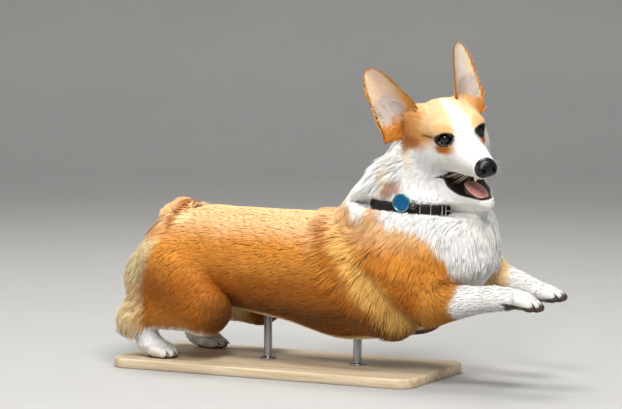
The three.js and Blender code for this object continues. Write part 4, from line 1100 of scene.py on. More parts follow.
class Graph:
    """A node tree with one way to make any node."""

    def __init__(self, tree: NodeTree) -> None:
        """Clears the tree for new nodes."""
        self.tree = tree
        tree.nodes.clear()

    def node(self, kind: str, settings: dict[str, object] | None = None,
             inputs: dict[object, object] | None = None) -> bpy.types.Node:
        """Makes a node.

        Args:
            kind: The node's type.
            settings: Its properties, set first. "stops" are a ramp's places and colours.
            inputs: Numbers, colours, sockets or values for its sockets, by name or number.

        Returns:
            The node.
        """
        made = self.tree.nodes.new(kind)
        for name, value in (settings or {}).items():
            if name == "stops":
                ramp_of = made.color_ramp
                while len(ramp_of.elements) < len(value):
                    ramp_of.elements.new(0.5)
                for element, (place, colour) in zip(ramp_of.elements, value):
                    element.position = place
                    element.color = (*colour, 1.0)
            else:
                setattr(made, name, value)
        for key, value in (inputs or {}).items():
            socket = made.inputs[key]
            if isinstance(value, Value):
                self.tree.links.new(value.socket, socket)
            elif isinstance(value, Socket):
                self.tree.links.new(value, socket)
            else:
                socket.default_value = value
        return made

    def value(self, kind: str, settings: dict[str, object] | None = None,
              inputs: dict[object, object] | None = None, output: object = 0) -> Value:
        """Makes a node and returns one of its outputs as a value."""
        return Value(self, self.node(kind, settings, inputs).outputs[output])

    def hue(self) -> Socket:
        """The colour that is painted on the mesh's points."""
        return self.node("ShaderNodeAttribute", {"attribute_name": "hue"}).outputs["Color"]

    def place(self, scale: Triple = (1, 1, 1)) -> Socket:
        """Object coordinates, stretched by a scale."""
        source = self.node("ShaderNodeTexCoord").outputs["Object"]
        return self.node("ShaderNodeMapping", None, {"Vector": source, "Scale": tuple(scale)}).outputs[0]

    def noise(self, size: float, detail: float = 3.0, scale: Triple = (1, 1, 1)) -> Value:
        """Noise of 0 to 1 with patches of a size in metres."""
        inputs = {"Vector": self.place(scale), "Scale": 1.0 / size, "Detail": detail}
        return self.value("ShaderNodeTexNoise", None, inputs)

    def tint(self, a: object, b: object, amount: object, way: str = "MIX") -> Socket:
        """Two colours mixed."""
        settings = {"data_type": "RGBA", "blend_type": way}
        return self.node("ShaderNodeMix", settings, {0: amount, 6: a, 7: b}).outputs[2]

    def bump(self, height: Value, strength: float, distance: float) -> Socket:
        """A bump's normal, from a height of about 0 to 1 over a distance in metres."""
        inputs = {"Height": height, "Strength": strength, "Distance": distance}
        return self.node("ShaderNodeBump", None, inputs).outputs[0]


def colour4(colour: Triple) -> tuple[float, float, float, float]:
    """A display colour as a linear one for a socket."""
    r, g, b = linear(colour)
    return float(r), float(g), float(b), 1.0


def principled(name: str, build: Callable[[Graph], dict[str, object]]) -> bpy.types.Material:
    """Makes a material with one principled shader.

    Args:
        name: The material's name.
        build: Makes the nodes and returns the shader's inputs.

    Returns:
        The material.
    """
    material = bpy.data.materials.new(name)
    material.use_nodes = True
    graph = Graph(material.node_tree)
    shader = graph.node("ShaderNodeBsdfPrincipled", None, build(graph))
    graph.node("ShaderNodeOutputMaterial", None, {"Surface": shader.outputs[0]})
    return material


@dataclass(frozen=True)
class CoatFinish:
    """Hair, whose colour comes from its roots."""

    name: str
    roughness: float = 0.66
    sheen: float = 0.04

    def make(self) -> bpy.types.Material:
        """Makes the material."""

        def build(g: Graph) -> dict[str, object]:
            """The shader's inputs."""
            fine = g.noise(0.0016, 2.0)
            shade = g.tint(g.hue(), (0.55, 0.5, 0.45, 1), fine * 0.28, "MULTIPLY")
            return {"Base Color": shade, "Roughness": self.roughness - 0.1 + fine * 0.2,
                    "Specular IOR Level": 0.2, "Sheen Weight": self.sheen, "Sheen Roughness": 0.5}

        return principled(self.name, build)


@dataclass(frozen=True)
class SkinFinish:
    """Skin under the coat, with short flat hair as bump, and bare, damp lips and rims."""

    name: str
    grain: float = 0.0011

    def make(self) -> bpy.types.Material:
        """Makes the material."""

        def build(g: Graph) -> dict[str, object]:
            """The shader's inputs."""
            bare = g.value("ShaderNodeAttribute", {"attribute_name": "bare"}, None, "Fac")
            hair = g.noise(self.grain, 3.0, (0.35, 1, 1))
            shade = g.tint(g.hue(), (0.5, 0.45, 0.4, 1), hair * (1 - bare) * 0.4, "MULTIPLY")
            height = hair * (1 - bare * 0.8)
            return {"Base Color": shade, "Roughness": 0.75 - bare * 0.42,
                    "Normal": g.bump(height, 0.5, 0.0012), "Specular IOR Level": 0.35}

        return principled(self.name, build)


@dataclass(frozen=True)
class GrainFinish:
    """A plain finish with grain: a colour that varies, a roughness that varies, and a fine bump."""

    name: str
    colour: tuple[int, int, int]
    dark: tuple[int, int, int]
    size: float
    roughness: float
    bump: float
    stretch: tuple[float, float, float] = (1, 1, 1)
    metallic: float = 0.0
    coat: float = 0.0
    pebbled: bool = False
    specular: float = 0.5

    def make(self) -> bpy.types.Material:
        """Makes the material."""

        def build(g: Graph) -> dict[str, object]:
            """The shader's inputs."""
            broad = g.noise(self.size * 6, 4.0, self.stretch)
            fine = g.noise(self.size, 4.0, self.stretch)
            height = fine
            if self.pebbled:
                inputs = {"Vector": g.place(self.stretch), "Scale": 1.0 / self.size}
                height = g.value("ShaderNodeTexVoronoi", {"feature": "DISTANCE_TO_EDGE"}, inputs) ** 0.4
            shade = g.tint(colour4(self.colour), colour4(self.dark), broad * 0.6 + fine * 0.4)
            return {"Base Color": shade, "Roughness": self.roughness - 0.12 + broad * 0.16 + fine * 0.1,
                    "Metallic": self.metallic, "Coat Weight": self.coat, "Coat Roughness": 0.12,
                    "Specular IOR Level": self.specular,
                    "Normal": g.bump(height, self.bump, self.size * 0.35)}

        return principled(self.name, build)


@dataclass(frozen=True)
class HueFinish:
    """A smooth finish whose colour is painted on its points."""

    name: str
    roughness: float
    coat: float
    size: float = 0.0006
    bump: float = 0.1
    specular: float = 0.5

    def make(self) -> bpy.types.Material:
        """Makes the material."""

        def build(g: Graph) -> dict[str, object]:
            """The shader's inputs."""
            fine = g.noise(self.size, 3.0)
            shade = g.tint(g.hue(), (0.6, 0.55, 0.5, 1), fine * 0.3, "MULTIPLY")
            inputs = {"Base Color": shade, "Roughness": self.roughness + fine * 0.05, "Coat Weight": self.coat,
                      "Coat Roughness": 0.03, "Specular IOR Level": self.specular}
            if self.bump:
                inputs["Normal"] = g.bump(fine, self.bump, self.size * 0.4)
            return inputs

        return principled(self.name, build)


@dataclass(frozen=True)
class BoardFinish:
    """Pale oiled wood with long grain."""

    name: str
    light: tuple[int, int, int] = (226, 208, 178)
    dark: tuple[int, int, int] = (190, 162, 122)

    def make(self) -> bpy.types.Material:
        """Makes the material."""

        def build(g: Graph) -> dict[str, object]:
            """The shader's inputs."""
            warp = g.noise(0.12, 3.0, (0.25, 1, 1))
            rings = g.noise(0.011, 5.0, (0.06, 1, 1))
            pores = g.noise(0.0012, 2.0, (0.05, 1, 1))
            amount = rings * 0.65 + warp * 0.35
            stops = ((0.35, linear(self.dark)), (0.5, linear(self.light)), (0.62, linear(self.dark) * 1.15))
            shade = g.node("ShaderNodeValToRGB", {"stops": stops}, {0: amount}).outputs[0]
            shade = g.tint(shade, (0.55, 0.45, 0.35, 1), pores * 0.3, "MULTIPLY")
            return {"Base Color": shade, "Roughness": 0.38 + pores * 0.25,
                    "Normal": g.bump(pores, 0.25, 0.0004), "Coat Weight": 0.15}

        return principled(self.name, build)


class Finish(Enum):
    """The finishes, by the place that they are for."""

    COAT = CoatFinish("coat_hair")
    SKIN = SkinFinish("skin_and_lips")
    NOSE = GrainFinish("nose_pebbled", (11, 10, 11), (5, 5, 6), 0.0011, 0.26, 0.3, pebbled=True, specular=0.4)
    EYE = HueFinish("eye_wet", 0.03, 0.0, bump=0.0)
    LID = GrainFinish("eyelid_rim", (34, 27, 27), (12, 10, 10), 0.0008, 0.3, 0.3, coat=0.4)
    TOOTH = GrainFinish("tooth_ivory", (238, 230, 208), (214, 196, 156), 0.002, 0.25, 0.1, coat=0.5)
    TONGUE = GrainFinish("tongue_pink", (232, 168, 156), (196, 120, 112), 0.0009, 0.34, 0.6,
                         coat=0.4, pebbled=True)
    CLAW = HueFinish("claw_horn", 0.32, 0.2)
    PAD = GrainFinish("paw_pad", (78, 58, 50), (44, 32, 28), 0.0012, 0.62, 0.8, pebbled=True)
    WHISKER = GrainFinish("whisker", (236, 230, 220), (196, 184, 168), 0.004, 0.4, 0.1)
    LEATHER = GrainFinish("strap_leather", (24, 17, 12), (12, 8, 6), 0.0012, 0.55, 0.4,
                          pebbled=True, specular=0.25)
    THREAD = GrainFinish("strap_thread", (120, 96, 72), (82, 62, 46), 0.0006, 0.7, 0.5)
    STEEL = GrainFinish("wire_nickel", (206, 206, 208), (150, 150, 154), 0.002, 0.26, 0.12, metallic=1.0)
    ENAMEL = GrainFinish("tag_blue", (0, 90, 134), (0, 68, 108), 0.004, 0.24, 0.15, coat=0.2, specular=0.3)
    RIM = GrainFinish("tag_rim", (128, 176, 186), (64, 104, 112), 0.0015, 0.32, 0.2, metallic=0.9)
    BELL = GrainFinish("bell_paint", (34, 33, 34), (14, 14, 15), 0.0015, 0.34, 0.2, coat=0.5)
    BOARD = BoardFinish("board_oiled")
    ROD = GrainFinish("rod_satin", (186, 186, 188), (146, 146, 150), 0.0012, 0.32, 0.2, (1, 1, 0.05), 1.0)
    FLOOR = GrainFinish("studio_floor", (172, 172, 170), (163, 162, 160), 0.05, 0.85, 0.05)

    def material(self) -> bpy.types.Material:
        """The finish's material, made once."""
        return bpy.data.materials.get(self.value.name) or self.value.make()


# Geometry node tools

class Tool:
    """A tree of geometry nodes with named inputs, which ends in real geometry with its material."""

    def __init__(self, name: str, inputs: dict[str, tuple[str, object]]) -> None:
        """Starts the tree.

        Args:
            name: The tree's name.
            inputs: Each input's socket type and its usual value.
        """
        self.tree = bpy.data.node_groups.new(name, "GeometryNodeTree")
        face = self.tree.interface
        face.new_socket("Geometry", in_out="OUTPUT", socket_type="NodeSocketGeometry")
        face.new_socket("Geometry", in_out="INPUT", socket_type="NodeSocketGeometry")
        self.names: dict[str, str] = {}
        for label, (kind, usual) in inputs.items():
            socket = face.new_socket(label, in_out="INPUT", socket_type=kind)
            socket.default_value = usual
            self.names[label] = socket.identifier
        self.graph = Graph(self.tree)
        self.source = self.graph.node("NodeGroupInput")

    def end(self, geometry: Socket, material: bpy.types.Material) -> None:
        """Closes the tree with real geometry and its material."""
        real = self.graph.node("GeometryNodeRealizeInstances", None, {0: geometry})
        dressed = self.graph.node("GeometryNodeSetMaterial", None, {"Geometry": real.outputs[0]})
        dressed.inputs["Material"].default_value = material
        self.graph.node("NodeGroupOutput", None, {0: dressed.outputs[0]})

    def use(self, name: str, start: bpy.types.Object, values: dict[str, object]) -> bpy.types.Object:
        """Runs the tree on an object and keeps the result as a plain mesh.

        Args:
            name: The new object's name.
            start: The object to run it on, removed afterwards.
            values: Values for the named inputs.

        Returns:
            The new object.
        """
        modifier = start.modifiers.new(self.tree.name, "NODES")
        modifier.node_group = self.tree
        for label, value in values.items():
            modifier[self.names[label]] = value
        graph = bpy.context.evaluated_depsgraph_get()
        mesh = bpy.data.meshes.new_from_object(start.evaluated_get(graph))
        mesh.name = name
        bpy.data.objects.remove(start)
        return linked(name, mesh)


def whisker_tool() -> Tool:
    """Whiskers: a bent, tapered hair on each point, along the point's own direction."""
    tool = Tool("whiskers", {"Length": ("NodeSocketFloat", 0.03), "Thickness": ("NodeSocketFloat", 0.0002),
                             "Bend": ("NodeSocketFloat", 0.006), "Seed": ("NodeSocketInt", 3)})
    g = tool.graph
    length, bend = tool.source.outputs["Length"], tool.source.outputs["Bend"]
    half = g.node("ShaderNodeMath", {"operation": "MULTIPLY"}, {0: length, 1: 0.5}).outputs[0]
    middle = g.node("ShaderNodeCombineXYZ", None, {"Z": half}).outputs[0]
    end = g.node("ShaderNodeCombineXYZ", None, {"X": bend, "Z": length}).outputs[0]
    curve = g.node("GeometryNodeCurveQuadraticBezier", None,
                   {"Resolution": 7, "Start": (0, 0, 0), "Middle": middle, "End": end})
    along = g.node("GeometryNodeSplineParameter").outputs["Factor"]
    thin = g.node("ShaderNodeMath", {"operation": "SUBTRACT"}, {0: 1.03, 1: along}).outputs[0]
    radius = g.node("ShaderNodeMath", {"operation": "MULTIPLY"},
                    {0: thin, 1: tool.source.outputs["Thickness"]}).outputs[0]
    ring = g.node("GeometryNodeCurvePrimitiveCircle", None, {"Resolution": 5, "Radius": 1.0})
    hair = g.node("GeometryNodeCurveToMesh", None, {"Curve": curve.outputs[0], "Profile Curve": ring.outputs[0],
                                                    "Scale": radius, "Fill Caps": True})
    way = g.node("GeometryNodeInputNamedAttribute", {"data_type": "FLOAT_VECTOR"}, {"Name": "way"})
    turn = g.node("FunctionNodeAlignRotationToVector", {"axis": "Z"}, {"Vector": way.outputs[0]})
    size = g.node("FunctionNodeRandomValue", {"data_type": "FLOAT"},
                  {2: 0.6, 3: 1.1, "Seed": tool.source.outputs["Seed"]})
    placed = g.node("GeometryNodeInstanceOnPoints", None,
                    {"Points": tool.source.outputs["Geometry"], "Instance": hair.outputs[0],
                     "Rotation": turn.outputs[0], "Scale": size.outputs[1]})
    tool.end(placed.outputs[0], Finish.WHISKER.material())
    return tool


def stitch_tool() -> Tool:
    """Stitches: short rounded threads at even steps along a curve."""
    tool = Tool("stitches", {"Step": ("NodeSocketFloat", 0.0042), "Thread": ("NodeSocketFloat", 0.0004),
                             "Reach": ("NodeSocketFloat", 0.0014)})
    g = tool.graph
    line = g.node("GeometryNodeMeshToCurve", None, {"Mesh": tool.source.outputs["Geometry"]})
    points = g.node("GeometryNodeCurveToPoints", {"mode": "LENGTH"},
                    {"Curve": line.outputs[0], "Length": tool.source.outputs["Step"]})
    bead = g.node("GeometryNodeMeshUVSphere", None, {"Segments": 6, "Rings": 4, "Radius": 1.0})
    thread, reach = tool.source.outputs["Thread"], tool.source.outputs["Reach"]
    size = g.node("ShaderNodeCombineXYZ", None, {"X": thread, "Y": thread, "Z": reach}).outputs[0]
    shaped = g.node("GeometryNodeTransform", None, {"Geometry": bead.outputs[0], "Scale": size})
    turn = g.node("FunctionNodeAlignRotationToVector", {"axis": "Z"}, {"Vector": points.outputs["Tangent"]})
    placed = g.node("GeometryNodeInstanceOnPoints", None,
                    {"Points": points.outputs[0], "Instance": shaped.outputs[0], "Rotation": turn.outputs[0]})
    tool.end(placed.outputs[0], Finish.THREAD.material())
    return tool


# The coat

FINE_CLUMPS = (7.0, 41)
WIDE_CLUMPS = (15.0, 31)


class Tuft(Enum):
    """How many sections a tuft has between its root and its tip."""

    SPIKE = (0.0,)
    BENT = (0.0, 0.5)
    LONG = (0.0, 0.36, 0.7)


@dataclass
class Tufts:
    """Tufts of one kind before they are meshed: where they are rooted, their way, sizes and colour."""

    roots: Array
    normals: Array
    ways: Array
    lengths: Array
    heights: Array
    widths: Array
    colours: Array
    places: Array


def clumps(p: Array, size: float, seed: int) -> tuple[Array, Array]:
    """The middle of the clump that each point belongs to.

    Args:
        p: Points in three columns.
        size: How far apart clumps are.
        seed: Chooses where they are.

    Returns:
        The way from each point to its clump's middle, and a fixed random number for the clump.
    """
    cell = np.floor(p / size).astype(np.int64)
    best = np.full(len(p), 1e9)
    way = np.zeros_like(p)
    tone = np.zeros(len(p))
    for step in np.ndindex(3, 3, 3):
        near = cell + np.array(step) - 1
        middle = (near + np.stack([lattice(near, seed + k) for k in range(3)], 1)) * size
        gap = middle - p
        squared = (gap ** 2).sum(1)
        closer = squared < best
        best = np.where(closer, squared, best)
        way[closer] = gap[closer]
        tone[closer] = lattice(near, seed + 7)[closer]
    return way, tone


@dataclass
class Coat:
    """The dog's coat: tufts along the lie of the hair, rooted in the skin."""

    anatomy: Anatomy
    markings: Markings
    grid: FieldGrid
    thinning: float = 1.0
    seed: int = 20

    def __post_init__(self) -> None:
        """Starts the random numbers."""
        self.random = np.random.default_rng(self.seed)

    def sizes(self, p: Array) -> tuple[Array, Array, Array, Array]:
        """The coat's length, height, width and density at points.

        Args:
            p: Points on the skin.

        Returns:
            Length, height of the tips and width in millimetres, and tufts for each square millimetre.
        """
        a = self.anatomy
        h = a.head.into(p)
        long_coat = np.clip(a.long_coat(p), 0, 1)
        sizes = np.stack([19 + 13 * long_coat, 3.8 + 5.4 * long_coat, 1.65 + 0.15 * long_coat,
                          0.3 + 0.12 * long_coat], 1)

        def mixed(target: Triple, amount: Array) -> None:
            """Turns the sizes towards others by an amount."""
            nonlocal sizes
            sizes = sizes + (np.array(target) - sizes) * np.clip(amount, 0, 1)[:, None]

        mixed((44, 14, 2.0, 0.38), long_coat * ramp(p[:, 0], -190, -216) * ramp(a.tail(p), 2, 8))
        mixed((42, 8.5, 1.9, 0.36), long_coat * ramp(p[:, 2], 200, 184) * ramp(p[:, 0], 232, 212)
              * ramp(p[:, 0], 40, 60))
        mixed((22, 8.5, 1.9, 0.35), ramp(a.tail(p), 8, 2))
        mixed((27, 6.2, 1.5, 0.5), long_coat * ramp(a.neck(p), 12, 2) * ramp(p[:, 2], 190, 214))
        limb = ramp(p[:, 0], 236, 290) * ramp(p[:, 2], 180, 150)
        mixed((11, 2.3, 1.3, 0.42), limb)
        mixed((12, 2.6, 1.4, 0.4), ramp(p[:, 2], 66, 40) * ramp(p[:, 0], -100, -130))
        toes = np.maximum(ramp(p[:, 0], 350, 362) * ramp(p[:, 2], 178, 150), ramp(p[:, 2], 26, 16))
        mixed((6, 1.1, 0.9, 0.8), toes)
        on_head = ramp(a.head_form(p), 14, 2) * ramp(h[:, 0], -78, -50)
        mixed((15, 3.4, 1.3, 0.5), on_head)
        mixed((8.6, 2.0, 0.95, 0.85), on_head * ramp(h[:, 2], -26, -4) * ramp(h[:, 0], -70, -40))
        face = on_head * ramp(h[:, 0], -34, 4)
        mixed((6.5, 1.6, 0.85, 0.95), face)
        mixed((3.8, 0.9, 0.7, 1.15), face * ramp(h[:, 0], 30, 62))
        length, height, width, density = sizes.T
        eye = np.min([np.linalg.norm(h - a.eye_centre(s), axis=1) for s in (-1, 1)], axis=0)
        close = ramp(eye, 25, 15)
        mirrored = np.stack([h[:, 0], np.abs(h[:, 1]), h[:, 2]], 1)
        crest = np.linalg.norm((mirrored - [-46, 38, 32]) / [20.0, 16.0, 18.0], axis=1)
        crest = ramp(crest, 1.3, 0.5) * on_head
        height = height + 6.5 * crest
        length = length + 7 * crest
        nape = np.linalg.norm((p - [156.0, -30.0, 292.0]) / [26.0, 32.0, 26.0], axis=1)
        height = height + 10.0 * ramp(nape, 1.2, 0.5) * ramp(a.neck(p), 16, 4)
        lip = ramp(a.mouth_gap(p), 11, 3) * on_head
        length = length * (1 - 0.5 * np.maximum(close, lip))
        height = height * (1 - 0.6 * np.maximum(close, lip))
        return length, height, width, density

    def bald(self, p: Array) -> Array:
        """Where no hair is rooted: lips, lids, nose, soles and under the strap."""
        a = self.anatomy
        h = a.head.into(p)
        bare = self.markings.skin(p)[1] > 0.3
        bare |= ellipsoid(Nose.centre, Nose.radii)(h) < 0.4
        bare |= (a.mouth_gap(p) < 2.4) & (a.head_form(p) < 12)
        bare |= a.collar_bed(p) < np.where(a.strap_place(p)[1] > 0, 0.6, -2.6)
        bare |= p[:, 2] < 2.0
        for side in (-1, 1):
            bare |= np.linalg.norm(h - a.eye_centre(side), axis=1) < a.eye_radius + 0.4
        return bare

    def roots(self, points: Array, faces: Array) -> Array:
        """Roots spread over a mesh by the coat's density.

        Args:
            points: The skin's points.
            faces: Its faces of four points.

        Returns:
            The roots in three columns.
        """
        tri = triangles(faces)
        a, b, c = (points[tri[:, i]] for i in range(3))
        area = np.linalg.norm(np.cross(b - a, c - a), axis=1) / 2
        centre = (a + b + c) / 3
        weight = area * self.sizes(centre)[3] * ~self.bald(centre)
        total = weight.sum() * self.thinning
        count = int(total)
        pick = (np.arange(count) + self.random.random(count)) / count
        chosen = np.searchsorted(np.cumsum(weight) / weight.sum(), pick).clip(max=len(tri) - 1)
        u, v = self.random.random((2, count))
        flip = u + v > 1
        u, v = np.where(flip, 1 - u, u), np.where(flip, 1 - v, v)
        roots = a[chosen] + u[:, None] * (b - a)[chosen] + v[:, None] * (c - a)[chosen]
        return roots[~self.bald(roots)]

    def lay(self, roots: Array) -> Tufts:
        """Gives roots their way, sizes and colours."""
        length, height, width, _ = self.sizes(roots)
        count = len(roots)
        slope = self.grid.read(roots)[1]
        way = self.anatomy.lie(roots)
        way = unit(way - (way * slope).sum(1)[:, None] * slope)
        size = np.where(length > 24, WIDE_CLUMPS[0], FINE_CLUMPS[0])
        tone = np.where(length > 24, clumps(roots, *WIDE_CLUMPS)[1], clumps(roots, *FINE_CLUMPS)[1])
        angle = 0.18 * noise(roots, 34, 51) + 0.22 * (tone - 0.5) + 0.1 * self.random.normal(size=count)
        angle = np.where(length < 10, 0.6 * angle, angle)
        cos, sin = np.cos(angle)[:, None], np.sin(angle)[:, None]
        way = unit(way * cos + np.cross(slope, way) * sin)
        length = length * self.random.uniform(0.72, 1.2, count) * (1 + 0.12 * noise(roots, size.mean(), 52))
        room = self.room(roots, way, length)
        height = height * np.sqrt(np.maximum(room / length, 0.2))
        length = room
        height = height * self.random.uniform(0.6, 1.15, count)
        width = width * self.random.uniform(0.75, 1.25, count)
        shade = 1 + 0.16 * (tone - 0.5) + 0.1 * (self.random.random(count) - 0.5)
        seen = roots + way * np.where(length > 9, 0.42 * length, 0.0)[:, None]
        colours = self.markings.coat(seen) * shade[:, None]
        return Tufts(roots, slope, way, length, height, width, colours, np.zeros((count, 2)))

    def room(self, roots: Array, ways: Array, lengths: Array) -> Array:
        """Lengths that end where the strap presses the coat in.

        Args:
            roots: Roots.
            ways: The ways of their tufts.
            lengths: The lengths without the strap.

        Returns:
            The lengths.
        """
        lengths = lengths.copy()
        near = np.flatnonzero(np.abs(self.anatomy.strap_place(roots)[1]) < 62)
        for reach in np.arange(44.0, 2.0, -2.5):
            bed = self.anatomy.collar_bed(roots[near] + ways[near] * reach)
            lengths[near] = np.where(bed < -2.4, np.minimum(lengths[near], reach), lengths[near])
        return np.maximum(lengths, 3.0)

    def rings(self, tufts: Tufts, kind: Tuft, follow: bool) -> tuple[Array, Array, Array]:
        """The tufts' sections and tips.

        Args:
            tufts: The tufts.
            kind: Their kind.
            follow: Whether they bend along the skin.

        Returns:
            Points by tuft, three for each section and one for the tip, with their normals, and whether
            the tuft stays clear of the strap.
        """
        stations = list(kind.value) + [1.0]
        long_tufts = kind is Tuft.LONG
        pull = clumps(tufts.roots, *(WIDE_CLUMPS if long_tufts else FINE_CLUMPS))[0]
        strength = {Tuft.SPIKE: 0.2, Tuft.BENT: 0.36, Tuft.LONG: 0.5}[kind]
        at, way, slope = tufts.roots, tufts.ways, tufts.normals
        sink = np.minimum(1.2, 0.12 * tufts.lengths)
        points, normals = [], []
        clear = np.ones(len(at), bool)
        for k, s in enumerate(stations):
            if k:
                step = s - stations[k - 1]
                near = pull - (pull * slope).sum(1)[:, None] * slope
                at = at + way * (tufts.lengths * step)[:, None] + near * strength * step
                if follow:
                    gap, slope = self.grid.read(at)
                    at = at - slope * np.clip(gap, -6, 6)[:, None]
                    if long_tufts:
                        lie = self.anatomy.lie(at)
                        way = way * 0.6 + lie * 0.4
                    way = unit(way - (way * slope).sum(1)[:, None] * slope)
            rise = -sink + (sink + tufts.heights) * (1 - (1 - s) ** 1.7)
            centre = at + slope * rise[:, None]
            if follow and k:
                clear &= self.anatomy.collar_bed(centre) > -4.0
                clear &= self.anatomy.mouth_gap(centre) > -0.2
            if k == len(stations) - 1:
                points.append(centre)
                normals.append(slope * 0.9 + way * 0.3)
                continue
            across = np.cross(slope, way)
            wide = (tufts.widths / 2 * (0.75 + 0.25 * math.sin(math.pi * s)) * (1 - 0.45 * s))[:, None]
            points += [centre - across * wide, centre + slope * wide * 0.7, centre + across * wide]
            normals += [slope - across * 0.45, slope, slope + across * 0.45]
        return np.stack(points, 1), np.stack(normals, 1), clear

    def piece(self, name: str, tufts: Tufts, kind: Tuft, follow: bool = True) -> bpy.types.Object | None:
        """Meshes tufts as one object.

        Args:
            name: The object's name.
            tufts: The tufts.
            kind: Their kind.
            follow: Whether they bend along the skin.

        Returns:
            The object, or None where no tuft is left.
        """
        points, normals, clear = self.rings(tufts, kind, follow)
        if follow:
            points, normals = points[clear], normals[clear]
        places, colours = tufts.places, tufts.colours
        if follow:
            places, colours = places[clear], colours[clear]
        if not len(points):
            return None
        sections = len(kind.value)
        pattern = []
        for k in range(sections - 1):
            for j in range(3):
                a, b = 3 * k + j, 3 * k + (j + 1) % 3
                pattern += [(a, a + 3, b + 3), (a, b + 3, b)]
        last = 3 * (sections - 1)
        pattern += [(last + j, 3 * sections, last + (j + 1) % 3) for j in range(3)]
        each = points.shape[1]
        faces = (np.array(pattern)[None] + np.arange(len(points))[:, None, None] * each).reshape(-1, 3)
        along = np.array([s for s in kind.value for _ in range(3)] + [1.0])
        sideways = np.array([0.0, 0.5, 1.0] * sections + [0.5])
        pale = np.clip(colours.min(1) / 0.8, 0, 1)[:, None, None]
        # Painted shade: each tuft darkens towards its root, pale hair less so, as in the shade between tufts.
        light = (0.8 + 0.14 * pale) + (0.22 - 0.14 * pale) * (along ** 0.7)[None, :, None]
        hues = np.clip(colours[:, None] * light, 0, 0.95).reshape(-1, 3)
        uvs = places[:, None] + 0.003 * np.stack([sideways, along], 1)[None]
        return mesh_object(name, to_row(points.reshape(-1, 3)), faces, Finish.COAT.material(), colours=hues,
                           normals=normals.reshape(-1, 3), uvs=uvs.reshape(-1, 2))


class Region(Enum):
    """The parts of the body that the coat is divided by."""

    HEAD = "head"
    NECK = "neck"
    CHEST = "chest"
    SHOULDERS = "shoulders"
    TRUNK = "trunk"
    RUMP = "rump"
    HIND = "hind_legs"
    FORE = "forelegs"
    TAIL = "tail"


@dataclass
class Body:
    """The continuous skin and the coat that grows from it."""

    anatomy: Anatomy
    markings: Markings
    fine: float = 1.6
    broad: float = 3.0
    limit: int = 196000

    def lines(self) -> tuple[Array, Array, Array]:
        """The grid's lines, closer together round the head."""
        f, b = self.fine, self.broad
        return (spaced((-276, 180, b), (180, 352, f), (352, 402, 0.7 * b)),
                spaced((-122, -84, b), (-84, 80, f * 1.15), (80, 110, b)),
                spaced((-6, 228, 0.9 * b), (228, 402, f)))

    def build(self) -> list[bpy.types.Object]:
        """Makes the skin and its coat.

        Returns:
            The pieces.
        """
        grid = FieldGrid(self.anatomy.skin, self.lines())
        points, faces = grid.surface()
        points[:, 2] = np.maximum(points[:, 2], 0.35)
        colours, bare = self.markings.skin(points)
        skin = mesh_object("skin", to_row(points), faces, Finish.SKIN.material(), colours=colours, bare=bare)
        nodes = ["torso", "neck", "head", "lower_jaw", "tail"]
        nodes += ["hindleg_right", "hindleg_left", "hindfoot_right", "hindfoot_left"]
        nodes += ["foreleg_right", "foreleg_left"]
        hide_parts(*nodes)
        finish(skin)
        log.info("skin: %d faces", len(faces))
        coat = Coat(self.anatomy, self.markings, grid, thinning=0.92)
        return [skin] + self.coat(coat, coat.roots(points, faces))

    def region(self, p: Array) -> Array:
        """The number of each point's region."""
        a = self.anatomy
        torso, neck = a.torso(p), a.neck(p)
        result = np.full(len(p), list(Region).index(Region.TRUNK))
        order = list(Region)
        result[p[:, 0] > 108] = order.index(Region.SHOULDERS)
        result[p[:, 0] > 212] = order.index(Region.CHEST)
        result[p[:, 0] < -196] = order.index(Region.RUMP)
        result[(neck < torso - 2) | (p[:, 2] > 214) & (p[:, 0] > 90)] = order.index(Region.NECK)
        for leg in a.legs:
            own = leg.form(p) < np.minimum(torso, neck) - 1
            result[own & (p[:, 2] < 200)] = order.index(Region.HIND if leg.hind else Region.FORE)
        result[(a.head_form(p) < neck + 4) & (a.head.into(p)[:, 0] > -76)] = order.index(Region.HEAD)
        result[(a.tail(p) < torso) & (p[:, 2] > 176)] = order.index(Region.TAIL)
        return result

    def unwrap(self, p: Array, region: Region) -> Array:
        """Each root's place on an unwrap of its region.

        Args:
            p: Roots.
            region: Their region.

        Returns:
            Two columns of 0 to 1.
        """
        low, high = p.min(0), p.max(0)
        along = 2 if region in (Region.NECK, Region.HIND, Region.HEAD) else 0
        first, second = [i for i in range(3) if i != along]
        middle = (low + high) / 2
        angle = np.arctan2(p[:, second] - middle[second], p[:, first] - middle[first]) / (2 * math.pi) + 0.5
        height = (p[:, along] - low[along]) / max(high[along] - low[along], 1e-6)
        return 0.002 + 0.99 * np.stack([angle, height], 1)

    def coat(self, coat: Coat, roots: Array) -> list[bpy.types.Object]:
        """Grows the coat, in pieces by region, kind and side."""
        tufts = coat.lay(roots)
        regions = self.region(roots)
        made = []
        for number, region in enumerate(Region):
            for kind in Tuft:
                low, high = {Tuft.SPIKE: (0, 9.5), Tuft.BENT: (9.5, 25), Tuft.LONG: (25, 99)}[kind]
                chosen = (regions == number) & (tufts.lengths >= low) & (tufts.lengths < high)
                cost = 6 * len(kind.value) - 3
                parts = max(1, math.ceil(chosen.sum() * cost / self.limit))
                order = np.argsort(roots[chosen][:, 1] + 0.4 * roots[chosen][:, 0])
                for part, picked in enumerate(np.array_split(np.flatnonzero(chosen)[order], parts)):
                    if not len(picked):
                        continue
                    own = Tufts(*(getattr(tufts, name)[picked] for name in Tufts.__dataclass_fields__))
                    own.places = self.unwrap(own.roots, region)
                    name = f"coat_{region.value}_{kind.name.lower()}_{part + 1}"
                    piece = coat.piece(name, own, kind)
                    if piece:
                        made.append(finish(piece))
                        log.info("%s: %d tufts", name, len(picked))
        return made


def finish(piece: bpy.types.Object) -> bpy.types.Object:
    """Lets a piece ride on the body."""
    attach(piece, "root")
    return piece


# Ears

